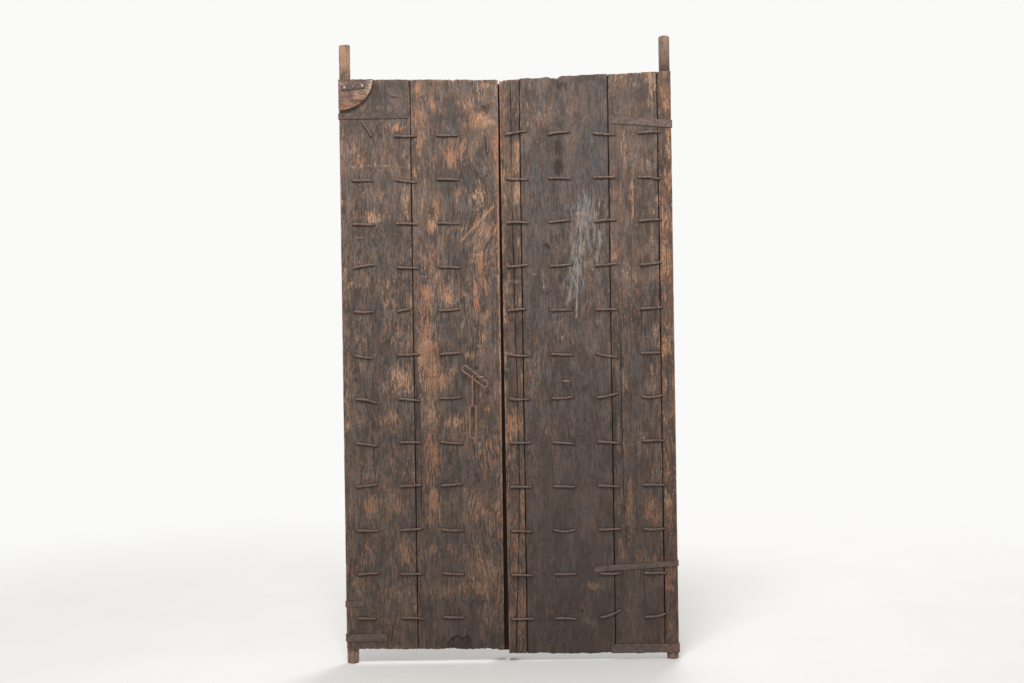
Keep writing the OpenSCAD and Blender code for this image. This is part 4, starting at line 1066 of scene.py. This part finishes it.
def rail(x0, x1, z, seed):
    """A rail on the far face: sloping edges, worn on its outer side."""
    length, half = x1 - x0, RAIL_H / 2
    thick = RAIL_Y - FAR_Y
    u = spaced(length, 9.0, edge=(0.0, 0.6, 1.8, 4.0))
    v = spaced(RAIL_H, 4.2, edge=(0.0, 0.9, 2.6, 4.6, 6.4, 8.0))
    t = np.array([0, 1.8, 4.2, 6.4, 8, 14, 22, thick])
    p, faces = slab(u, v, t, coarse=4)
    front = p[:, 2] < thick * 0.6
    bevel = 8.0 + 1.6 * noise((p[:, 1] > half) * ENDS_APART, p[:, 0] / 60, seed, 2)
    end = 1.5 + 1.5 * np.maximum(0, noise(p[:, 1] / 9, p[:, 2] / 9, seed + 1, 2))
    radius = np.stack([end, np.where(front, bevel, 0.8), np.where(front, bevel, 0.8)], 1)
    q, n = rounded(p, (length, RAIL_H, thick), radius, 1.15)
    sway = 0.8 * noise(q[:, 0] / 160, 3.0, seed + 2, 2)
    x, y, zz = x1 - q[:, 0], RAIL_Y - q[:, 2], z - half + q[:, 1]
    out = np.clip(1 - q[:, 2] / 10, 0, 1)
    grain = points(zz + 2.4 * noise(x / 170, zz / 50, seed + 3, 2), y, x)
    ridges = noise(grain[:, 0] / 3.2, x / 120, seed + 4, 2)
    down = 0.35 + 0.35 * noise(x / 70, zz / 24, seed + 5, 3) + 0.25 * ridges
    nicks = np.maximum(0, noise(x / 16, zz / 40, seed + 6, 2) - 0.45) * np.abs(n[:, 1]) * 5
    y = y - (down + nicks) * out
    pared = 0.3 + 0.3 * noise(x / 40, y / 12, seed + 7, 2) + nicks * 0.5
    zz = zz - n[:, 1] * pared + sway * out * 0.5
    ridge = np.exp(-((np.abs(q[:, 1] - half) - (half - bevel)) / 3.0) ** 2) * out
    rubbed = 0.75 * ridge * (0.5 + 0.6 * noise(x / 30, zz / 60, seed + 8, 2))
    from_end = np.minimum(q[:, 0], length - q[:, 0])
    # The rail grows darker down its sides towards the plank, with painted shade in the corner where rail and
    # plank meet
    values = wood_values(
        grain * MM,
        worn=rubbed + 0.25 * out - 0.2 + 0.5 * np.exp(-from_end / 5),
        dirt=np.clip(0.5 * smooth(14, 26, q[:, 2]) + 0.15, 0, 1),
        slate=np.clip(0.7 * noise(x / 70, zz / 30, seed + 9, 2), 0, 1) * out,
        deep=0.35 * smooth(24, 30, q[:, 2]),
        soot=np.clip(0.6 * noise(x / 50, zz / 40, seed + 10, 2) - 0.25, 0, 1) * out)
    return points(x, y, zz), faces, values


def tongue(x0, z):
    """The tongue on a right rail's inner end, which is housed in the cover strip."""
    reach, high, deep, near = 13.0, 38.0, 16.0, 20.5
    p, faces = slab(np.array([0, 0.8, 4, reach]), spaced(high, 8, edge=(0.0, 0.8)),
                    np.array([0, 0.8, deep / 2, deep - 0.8, deep]))
    q, _ = rounded(p, (reach, high, deep), 0.7)
    spot = points(x0 - reach + q[:, 0], near + q[:, 2], z - high / 2 + q[:, 1])
    return spot, faces, wood_values(spot[:, [2, 1, 0]] * MM, worn=0.2, dirt=0.3)


RIGHT_RAIL_X = STRIP_X + STRIP_W + 0.3
for i in range(RAIL_COUNT):
    left = [rail(LEFT_EDGE + RAIL_INSET, LEFT_RAIL_END, left_row(i), 400 + 12 * i)]
    right = [rail(RIGHT_RAIL_X, RIGHT_EDGE - RAIL_INSET, right_row(i), 600 + 12 * i),
             tongue(RIGHT_RAIL_X, right_row(i))]
    for side, made in (("left", left), ("right", right)):
        piece("%s_rail_board_%02d" % (side, i + 1), joined(made), side + "_leaf",
              ["%s_rail_%02d" % (side, i + 1)], rail_teak)


def strip_relief(x, z):
    """How deep the cover strip's chip carving is: lozenges and corner chips between the rows of nails."""
    pitch, first = right_row(0) - right_row(1), right_row(RAIL_COUNT - 1)
    row = (z - first) / pitch
    v = (row - np.floor(row) - 0.5) * pitch
    across = (x - STRIP_X - STRIP_W / 2) / 21.0
    inside = smooth(52, 50, np.abs(v)) * smooth(1.0, 0.95, np.abs(across))
    cell = 25.0
    w = (v / cell - np.round(v / cell)) * 2
    lozenge = np.abs(across) + np.abs(w)
    chip = np.clip(1 - np.abs(lozenge - 0.62) / 0.2, 0, 1)
    corner = np.clip((lozenge - 1.12) / 0.5, 0, 1)
    border = np.clip(1 - np.abs(np.abs(v) - 54) / 1.6, 0, 1) * smooth(1.1, 1.0, np.abs(across))
    between_rows = (row > 0) * (row < RAIL_COUNT - 1)
    return (2.4 * inside * np.maximum(chip, corner) + 1.6 * border) * between_rows


def strip_profile(u):
    """Depth of the strip's outer side below its face, at a place across it."""
    near = np.minimum(u, STRIP_W - u)
    return np.interp(near, [0, 8, 16], [19, 7, 0])


def cover_strip():
    """The strip over the meeting joint as (verts, faces, values), with bevelled sides and chip carving."""
    thick = 25.6
    z_low, z_high = right_foot(RIGHT_MEET) + 6, right_head(RIGHT_MEET) - 6
    length = z_high - z_low
    u = np.unique(np.concatenate([[0, 1, 2.5, 4.5, 6.5, 8, 9.5, 12, 14.5, 16, 17.5], np.linspace(19, 61, 19),
                                  [62.5, 64, 65.5, 68, 70.5, 72, 73.5, 75.5, 77.5, 79, 80]]))
    p, faces = slab(u, spaced(length, 2.9), np.array([0, 1.5, 6, 12, 18, 24, thick]), coarse=6)
    across = STRIP_W - p[:, 0]
    x, z = STRIP_X + across, z_low + p[:, 1]
    inner = p[:, 2] / thick
    outer = inner == 0
    y = (STRIP_Y - strip_profile(p[:, 0])) * (1 - inner) + (FAR_Y + 0.4 * (across < 37)) * inner
    carved = strip_relief(x, z) * outer
    wear = np.clip(0.5 + 0.8 * noise(x / 30, z / 120, 801, 3), 0, 1)
    skin = 0.3 + 0.3 * noise(x / 12, z / 40, 802, 3) + 0.2 * noise(x / 2.4, z / 70, 803, 2)
    y = y - carved * (1 - 0.35 * wear) - outer * skin
    edge = np.clip(1 - np.minimum(p[:, 0], across) / 2, 0, 1)
    x = x - np.sign(across - STRIP_W / 2) * edge * (0.4 + 0.4 * noise(y / 9, z / 60, 804, 2))
    ends = np.where(p[:, 1] < length / 2, 1, -1) * np.exp(-np.minimum(p[:, 1], length - p[:, 1]) / 2)
    z = z + ends * (0.8 + 0.7 * noise(x / 14, y / 10, 805, 2))
    from_side = np.minimum(p[:, 0], across)
    crown = np.exp(-((from_side - 16) / 2.2) ** 2) + np.exp(-((from_side - 8) / 2.0) ** 2)
    # Darker in the carved cuts, with painted shade on the inner face that lies against the plank
    values = wood_values(
        points(x + 1.5 * noise(x / 40, z / 200, 806, 2), y, z) * MM,
        worn=0.65 * crown * outer * wear + 0.15 * (carved < 0.2) - 0.1,
        dirt=np.clip(0.28 * carved + 0.3 * inner, 0, 1),
        slate=np.clip(0.5 * noise(x / 40, z / 120, 807, 2), 0, 1),
        deep=np.clip(np.clip((carved - 1.7) * 0.5, 0, 0.45) + 0.85 * (inner > 0.9), 0, 1))
    return points(x, y, z), faces, values


piece("meeting_cover_strip_board", cover_strip(), "right_leaf", ["meeting_cover_strip"],
      rail_teak)

# The corner board

CORNER_W, CORNER_H, CORNER_T = 120.0, 106.0, 14.0
CORNER_TACKS = [(LEFT_EDGE + 22 + 31 * t, left_head(LEFT_EDGE) - 33 + 3 * t) for t in range(3)]
# Drops of white paint: (how far from the outer edge, height, radius)
WHITE_DROPS = [(8, 1997, 3.0), (12, 1974, 2.2), (9, 1952, 3.0), (15, 1940, 2.0), (40, 1998, 2.6),
               (31, 1984, 2.0), (101, 2004, 2.4), (92, 2009, 1.8)]


def corner_board():
    """The quarter-round board at the head of the left leaf as (verts, faces, values)."""
    top = left_head(LEFT_EDGE + CORNER_W) - 2
    cells = np.unique(np.concatenate([np.linspace(0, 0.96, 34), [0.972, 0.984, 0.992, 1.0]]))
    p, faces = slab(cells, 1 - cells[::-1], np.array([0, 0.8, 2.0, 4.0, 8.0, 12.5, CORNER_T]), coarse=3)
    a, b, t = p[:, 0], 1 - p[:, 1], p[:, 2]
    rx, rz = a * np.sqrt(1 - b * b / 2), b * np.sqrt(1 - a * a / 2)
    rim = np.maximum(a, b)
    ragged = 0.006 * noise(np.arctan2(rz, rx) * 9, t / 8, 901, 3)
    shrink = 1 - np.clip(1 - t / 3.2, 0, 1) ** 2 * 0.022 - ragged
    shrink = np.where(rim > 0.5, shrink, 1)
    lip = smooth(0.9, 1.0, rim)
    x = LEFT_EDGE + 0.4 + rx * (CORNER_W - 0.8) * shrink
    z = top - rz * CORNER_H * shrink
    z = z - np.exp(-rz * CORNER_H / 1.6) * (1.0 + 1.2 * noise(x / 13, t / 8, 902, 3))
    front = t == 0
    gx = z + 0.35 * (x - LEFT_EDGE) + 5 * noise(x / 34, z / 30, 903, 2)
    depth = 0.6 + 0.8 * noise(x / 24, gx / 9, 904, 3) + 0.5 * noise(x / 15, gx / 2.6, 905, 2) + 2.6 * lip
    y = NEAR_Y - CORNER_T + t + front * depth
    white = np.zeros(len(x))
    for dx, dz, r in WHITE_DROPS:
        white = np.maximum(white, np.exp(-((x - (LEFT_EDGE + dx)) ** 2 + (z - dz) ** 2) / r ** 2))
    stained = np.clip(0.35 + 0.6 * noise(x / 26, gx / 9, 907, 3), 0, 1)
    pitted = np.clip(0.9 * noise(x / 22, gx / 3.2, 908, 3) - 0.35, 0, 0.7)
    values = wood_values(
        points(gx, y, x) * MM,
        worn=0.35 + 0.4 * noise(x / 20, gx / 12, 906, 2) + 0.9 * lip * front,
        dirt=stained * (1 - lip) + 0.6 * (t > 3),
        deep=pitted * (1 - lip) * front,
        paint=np.clip(1.6 * white, 0, 1))
    return points(x, y, z), faces, values


piece("left_corner_quarter_board", corner_board(), "left_leaf", ["left_corner_board"], pale_teak)

# Straps and their nails

STRAP_T, STRAP_RETURN, STRAP_FIT, STRAP_BEND, TACK_PLACES = 3.0, 22.0, 0.3, 2.2, (0.12, 0.5, 0.88)
STRAP_LAYERS, STRAP_ENDS, STRAP_SIDES = [0, 0.5, 1.5, 2.5, STRAP_T], (0.0, 0.5, 1.4), (0.0, 0.4, 1.1)
STRAP_ROUND, STRAP_SIDES_APART = (1.4, 0.5, 0.5), 5.0


def strap_route(edge, way, length):
    """The middle line of a strap in plan: near face, round the outer edge, far face."""
    half = STRAP_T / 2
    out_x = edge - way * (STRAP_FIT + half)
    turns = [math.radians(k * 15) for k in range(7)]
    route = [(edge + way * length, NEAR_Y - half)]
    route += [(out_x + way * STRAP_BEND * (1 - math.sin(a)), NEAR_Y - half + STRAP_BEND * (1 - math.cos(a)))
              for a in turns]
    route += [(out_x + way * STRAP_BEND * (1 - math.cos(a)), FAR_Y + half - STRAP_BEND * (1 - math.sin(a)))
              for a in turns]
    route.append((out_x + way * (STRAP_RETURN - half), FAR_Y + half))
    return np.array(route)


def strap(edge, way, z_edge, z_inner, length, width, seed, redder):
    """A strap on the near face, round the outer edge and back onto the far face."""
    route = strap_route(edge, way, length)
    at = np.concatenate([[0], np.cumsum(np.hypot(*np.diff(route, axis=0).T))])
    total, first_bend, second_bend = at[-1], at[1], at[8]
    u = spaced(total, 3.4, edge=STRAP_ENDS)
    u = np.unique(np.concatenate([u[np.abs(u - first_bend - 2) > 3],
                                  np.linspace(first_bend, first_bend + 3.6, 6),
                                  np.linspace(second_bend, second_bend + 3.6, 6)]))
    p, faces = slab(u, spaced(width, 2.2, edge=STRAP_SIDES), STRAP_LAYERS, coarse=2)
    q, _ = rounded(p, (total, width, STRAP_T), STRAP_ROUND)
    along, across, deep = q.T
    cx, cy = (np.interp(along, at, line) for line in route.T)
    step = 0.6
    ahead = [np.interp(along + step, at, line) - np.interp(along - step, at, line) for line in route.T]
    ahead = unit(np.stack(ahead, 1))
    dent = 0.25 + 0.3 * noise(along / 26, across / 14, seed, 2)
    dent = dent + 0.12 * noise(along / 5, across / 5, seed + 1, 2)
    lift = STRAP_T / 2 - deep - np.where(deep < STRAP_T / 2, dent, 0)
    x, y = cx - ahead[:, 1] * way * lift, cy + ahead[:, 0] * way * lift
    reach = np.clip((x - edge) * way / length, 0, 1)
    off_middle = across - width / 2
    ragged = 0.55 * noise(along / 30, (off_middle > 0) * STRAP_SIDES_APART, seed + 2, 3)
    ragged = ragged * np.abs(off_middle) / (width / 2)
    z = z_edge + (z_inner - z_edge) * reach + across - width / 2 - np.sign(off_middle) * (0.5 + ragged)
    red = redder * (smooth(0.45, 0.2, reach) + 0.3 * noise(along / 30, across / 20, seed + 3, 2))
    return points(x, y, z), [f[::-way] for f in faces], {"red": np.clip(red, -1, 1)}


def corner_strap():
    """The short flat strap over the corner board."""
    length, width = 82.0, 18.0
    p, faces = slab(spaced(length, 3.0, edge=STRAP_ENDS), spaced(width, 2.2, edge=STRAP_SIDES), STRAP_LAYERS,
                    coarse=2)
    along, across, deep = rounded(p, (length, width, STRAP_T), STRAP_ROUND)[0].T
    above = across > width / 2
    ragged = 0.5 + 0.5 * noise(along / 18, above * STRAP_SIDES_APART, 951, 2)
    x = LEFT_EDGE + 12 + along
    z = LEFT_HEAD - 43 + 7 * along / length + across - np.sign(across - width / 2) * ragged
    y = NEAR_Y - CORNER_T - STRAP_T + deep + (deep < 1) * (0.3 + 0.3 * noise(x / 12, z / 8, 952, 2))
    return points(x, y, z), faces, {}


def tack(x, z, face, deep, seed, white=0.0):
    """A strap nail's worn head and its shank."""
    sides, r, h = 14, 5.0, 2.0
    angle = around(sides)
    uneven = 1 + 0.07 * noise(np.cos(angle) * 1.5 + seed, np.sin(angle) * 1.5, 31, 2)
    head = [(0.45 * r, h * 0.98), (0.8 * r, h * 0.72), (0.98 * r, h * 0.25), (r, -0.35)]
    shank = [(1.8, -0.4), (1.7, -deep * 0.7), (0.5, -deep)]
    verts = [(x, face - h, z)]
    for ring, wobble in ((head, uneven), (shank, np.ones(sides))):
        for q, y in ring:
            verts += [(x + q * w * math.cos(a), face - y, z + q * w * math.sin(a))
                      for a, w in zip(angle, wobble)]
    rings = len(head) + len(shank)
    faces = [[0, 1 + k, 1 + (k + 1) % sides] for k in range(sides)]
    faces += ring_faces(rings, sides, 1, turned=True)
    faces.append([1 + (rings - 1) * sides + k for k in range(sides)][::-1])
    return np.array(verts), faces, {"bare": np.full(len(verts), white)}


# Height at the edge, height at the inner end, length on the near face, width, seed, redness
LEFT_STRAPS = {"left_top_strap": (1895.0, 1895.0, 241.0, 21.0, 1000, 1.0),
               "left_low_strap": (207.0, 207.0, 62.0, 21.0, 1010, 0.9),
               "left_foot_strap": (90.0, 90.0, 140.0, 25.0, 1020, 0.4)}
LOW_ROW = right_row(RAIL_COUNT - 2)
RIGHT_STRAPS = {"right_top_strap": (1853.0, 1870.0, 208.0, 27.0, 1050, 0.4),
                "right_low_strap": (LOW_ROW + 31.7, LOW_ROW + 14.7, 292.0, 20.0, 1060, 0.4),
                "right_foot_strap": (39.0, 39.0, 233.0, 31.0, 1070, 0.9)}
for straps, edge, way, side in ((LEFT_STRAPS, LEFT_EDGE, 1, "left"), (RIGHT_STRAPS, RIGHT_EDGE, -1, "right")):
    tacks = []
    for k, (name, (z0, z1, reach, width, seed, redder)) in enumerate(straps.items()):
        made = strap(edge, way, z0, z1, reach, width, seed, redder)
        skin = pale_strap_iron if name == "right_top_strap" else strap_iron
        piece(name + "_iron", made, side + "_leaf", [name], skin)
        tacks += [tack(edge + way * reach * t, z0 + (z1 - z0) * t, NEAR_Y - STRAP_T, 18.0, 3.0 * k + t)
                  for t in TACK_PLACES]
    if side == "left":
        tacks += [tack(x, z, NEAR_Y - CORNER_T - STRAP_T, 31.0, x, white)
                  for (x, z), white in zip(CORNER_TACKS, (0.5, 0.05, 0.5))]
    piece(side + "_tacks", joined(tacks), side + "_leaf", [side + "_strap_nails"], nail_iron)

piece("left_corner_strap_iron", corner_strap(), "left_leaf", ["left_corner_strap"], strap_iron)

# Chain and staples

ROD_R = 3.0


def link_shape(length, width):
    """The middle line of a link lying along u, as (u, w) points."""
    half = (length - width) / 2 - ROD_R
    bars = np.linspace(-half, half, 16)[1:-1]
    turn = np.linspace(-math.pi / 2, math.pi / 2, 14)
    end = np.stack([half + width / 2 * np.cos(turn), width / 2 * np.sin(turn)], 1)
    top = np.stack([bars[::-1], np.full(len(bars), width / 2)], 1)
    return np.vstack([end, top, -end, -top])


def link(middle, along, across, length, width, seed, redder):
    """A forged link: worn thinner where it hangs, with the trace of its weld in one bar."""
    shape = link_shape(length, width)
    middle, along, across = (np.asarray(k, float) for k in (middle, along, across))
    out = np.cross(along, across)
    k = np.arange(len(shape)) / len(shape)
    angle = k * 6.283

    def uneven(cells, shift, table):
        return noise(np.cos(angle) * cells + shift, np.sin(angle) * cells + seed, table)

    shape = shape + 0.35 * np.stack([uneven(2, 4, 41), uneven(2, 9, 42)], 1)
    off = 0.3 * uneven(1.6, 2, 43)
    path = middle + np.outer(shape[:, 0], along) + np.outer(shape[:, 1], across) + np.outer(off, out)
    ends = np.abs(shape[:, 0]) / np.abs(shape[:, 0]).max()
    radius = 3.05 - 0.5 * smooth(0.86, 0.97, ends) + 0.12 * uneven(5, 3, 44)
    weld = 0.35 * np.exp(-((k - 0.42) / 0.02) ** 2)
    verts, faces = tube(path, radius + weld, 12, 2.35, seed=seed, rough=0.05, closed=True)
    return verts, faces, {"red": np.full(len(verts), redder), "bare": np.zeros(len(verts))}


# A staple's tail: how far out from the leg, how far off the far face, radius
STAPLE_TAIL = [(1.0, 1.2, 2.7), (2.6, 2.4, 2.6), (5.0, 2.8, 2.5), (9.0, 2.8, 2.3), (14.0, 2.8, 2.0),
               (19.0, 2.6, 1.6), (22.0, 2.3, 1.1)]


def staple(x, z, shoulder, seed, highlight):
    """A staple: bow off the near face, legs through the plank, tails turned out on the far face."""
    half, leg_r, bow_y = 13, 2.9, NEAR_Y - shoulder
    turn = np.linspace(0, math.pi, 19)
    bow = points(x - half * np.cos(turn), bow_y - half * np.sin(turn), np.full(len(turn), z))
    legs = np.linspace(bow_y, FAR_Y - 2, 14)[1:]
    sides = []
    for way in (-1, 1):
        foot = x + way * half
        tail = [(foot + way * a, FAR_Y + y, z) for a, y, _ in STAPLE_TAIL]
        sides.append([(foot, y, z) for y in legs] + tail)
    path = np.vstack([sides[0][::-1], bow, sides[1]])
    leg = np.concatenate([np.full(len(legs), leg_r), [r for _, _, r in STAPLE_TAIL]])
    radius = np.concatenate([leg[::-1], 2.85 - 0.3 * np.sin(turn) ** 4, leg])
    at = np.arange(len(path)) / 5
    path = path + points(0.25 * noise(at, seed, 45), np.zeros(len(path)), 0.3 * noise(at, seed + 3, 46))
    verts, faces = tube(path, radius, 12, 2.6, seed=seed, rough=0.05)
    # Painted highlight: a bright spot on the front of the bow
    bare = highlight * np.exp(-((verts[:, 0] - x - 3) / 5.0) ** 2) * (verts[:, 1] < bow_y - 11)
    return verts, faces, {"red": np.zeros(len(verts)), "bare": bare}


LEAN = math.radians(38.0)
ALONG_LEAN, ACROSS_LEAN = (math.cos(LEAN), 0, -math.sin(LEAN)), (math.sin(LEAN), 0, math.cos(LEAN))
LOOP_Y, BAR_Y, HOOK_X = NEAR_Y - 20.0, NEAR_Y - 19.3, -681.152
DOWN, ALONG_Y, ALONG_X = (0, 0, -1), (0, 1, 0), (1, 0, 0)
upper = link((-672.316, BAR_Y, 988.651), ALONG_LEAN, ACROSS_LEAN, 113, 20, 1, 0.1)
middle = link((HOOK_X, LOOP_Y, (981.07 + 894.07) / 2), DOWN, ALONG_Y, 113, 20, 2, 0.3)
lower = link((HOOK_X, LOOP_Y, (879.37 + 786.37) / 2), DOWN, ALONG_X, 121, 22, 3, 0.6)
for name, body, node, made in (
        ("upper_chain_link", "upper_link_body", "upper_link", upper),
        ("middle_chain_link", "middle_link_body", "middle_link", middle),
        ("lower_chain_link", "lower_link_body", "lower_link", lower),
        ("left_chain_staple", "left_leaf", "left_staple", staple(-653.0, 986.25, 13.0, 4, 0.35)),
        ("right_latch_staple", "right_leaf", "right_staple", staple(-356.0, 968.15, 8.0, 5, 0.15))):
    piece(name, made, body, [node], chain_iron)


# Floor, light and camera

MIDDLE_X, FLOOR_R, FLOOR_SIDES = -0.55, 6.5, 96
BACKDROP = (0.96, 0.955, 0.95, 1)

floor_mesh = bpy.data.meshes.new("floor")
ring = [(FLOOR_R * math.cos(a) + MIDDLE_X, FLOOR_R * math.sin(a), 0.0) for a in around(FLOOR_SIDES)]
floor_mesh.from_pydata(ring, [], [list(range(FLOOR_SIDES))])
floor = bpy.data.objects.new("floor", floor_mesh)
bpy.context.scene.collection.objects.link(floor)
paint = Nodes("pale_floor")
at = paint.tree.nodes.new("ShaderNodeTexCoord").outputs["Object"]
paint.shader.inputs["Roughness"].default_value = 0.9
paint.put(paint.shader.inputs["Base Color"],
          paint.mix(paint.noise(at, (3, 3, 3), 1, 3), srgb(232, 230, 226), srgb(240, 238, 235)))
floor_mesh.materials.append(paint.material)
out = next(n for n in paint.tree.nodes if n.type == "OUTPUT_MATERIAL")
white = paint.tree.nodes.new("ShaderNodeEmission")
white.inputs["Color"].default_value = BACKDROP
far = paint.tree.nodes.new("ShaderNodeMixShader")
reach = paint.tree.nodes.new("ShaderNodeVectorMath")
reach.operation = "DISTANCE"
paint.put(reach.inputs[0], at)
reach.inputs[1].default_value = (MIDDLE_X, 0.0, 0.0)
ray = paint.tree.nodes.new("ShaderNodeLightPath").outputs["Is Camera Ray"]
paint.put(far.inputs[0], paint.times(ray, paint.band(reach.outputs["Value"], 1.2, 4.2)))
paint.put(far.inputs[1], paint.shader.outputs[0])
paint.put(far.inputs[2], white.outputs[0])
paint.put(out.inputs["Surface"], far.outputs[0])

world = bpy.data.worlds.new("studio")
bpy.context.scene.world = world
world.use_nodes = True
tree = world.node_tree
back = next(n for n in tree.nodes if n.type == "BACKGROUND")
back.inputs["Color"].default_value = (1, 1, 1, 1)
back.inputs["Strength"].default_value = 0.5
shown = tree.nodes.new("ShaderNodeBackground")
shown.inputs["Color"].default_value = BACKDROP
shown.inputs["Strength"].default_value = 1.0
rays = tree.nodes.new("ShaderNodeLightPath")
either = tree.nodes.new("ShaderNodeMath")
either.operation = "MAXIMUM"
tree.links.new(rays.outputs["Is Camera Ray"], either.inputs[0])
tree.links.new(rays.outputs["Is Glossy Ray"], either.inputs[1])
mixed = tree.nodes.new("ShaderNodeMixShader")
tree.links.new(either.outputs[0], mixed.inputs[0])
tree.links.new(back.outputs[0], mixed.inputs[1])
tree.links.new(shown.outputs[0], mixed.inputs[2])
tree.links.new(mixed.outputs[0], next(n for n in tree.nodes if n.type == "OUTPUT_WORLD").inputs["Surface"])


def lamp(name, place, target, size, watts):
    light = bpy.data.lights.new(name, "AREA")
    light.shape, light.size, light.energy = "DISK", size, watts
    obj = bpy.data.objects.new(name, light)
    obj.location = place
    obj.rotation_euler = (Vector(target) - Vector(place)).to_track_quat("-Z", "Y").to_euler()
    bpy.context.scene.collection.objects.link(obj)


lamp("front_light", (-1.0, -2.9, 4.7), (MIDDLE_X, 0.0, 1.1), 1.8, 145)
lamp("back_light", (0.8, 3.8, 4.0), (MIDDLE_X, 0.0, 1.1), 2.6, 120)

# The photograph's camera: place, roll and tilt in degrees, and focal length in pixels of a 1024 wide frame
CAMERA_AT, CAMERA_ROLL, CAMERA_TILT = Vector((-0.543, -4.3, 1.106)), -0.85, 0.015
FOCAL_PX, FRAME_PX, SENSOR = 1237.0, 1024.0, 36.0
camera_data = bpy.data.cameras.new("camera")
camera_data.sensor_width = SENSOR
camera_data.lens = SENSOR * FOCAL_PX / FRAME_PX
camera = bpy.data.objects.new("camera", camera_data)
bpy.context.scene.collection.objects.link(camera)
tilt, roll = math.radians(CAMERA_TILT), math.radians(CAMERA_ROLL)
forward = Vector((0.0, math.cos(tilt), math.sin(tilt)))
level = Vector((1.0, 0.0, 0.0))
right = level * math.cos(roll) + forward.cross(level) * -math.sin(roll)
up = right.cross(forward)
turned = Matrix((right, up, -forward)).transposed()
camera.matrix_world = Matrix.Translation(CAMERA_AT) @ turned.to_4x4()
bpy.context.scene.camera = camera
bpy.context.scene.view_settings.view_transform = "Standard"

bpy.context.view_layer.update()
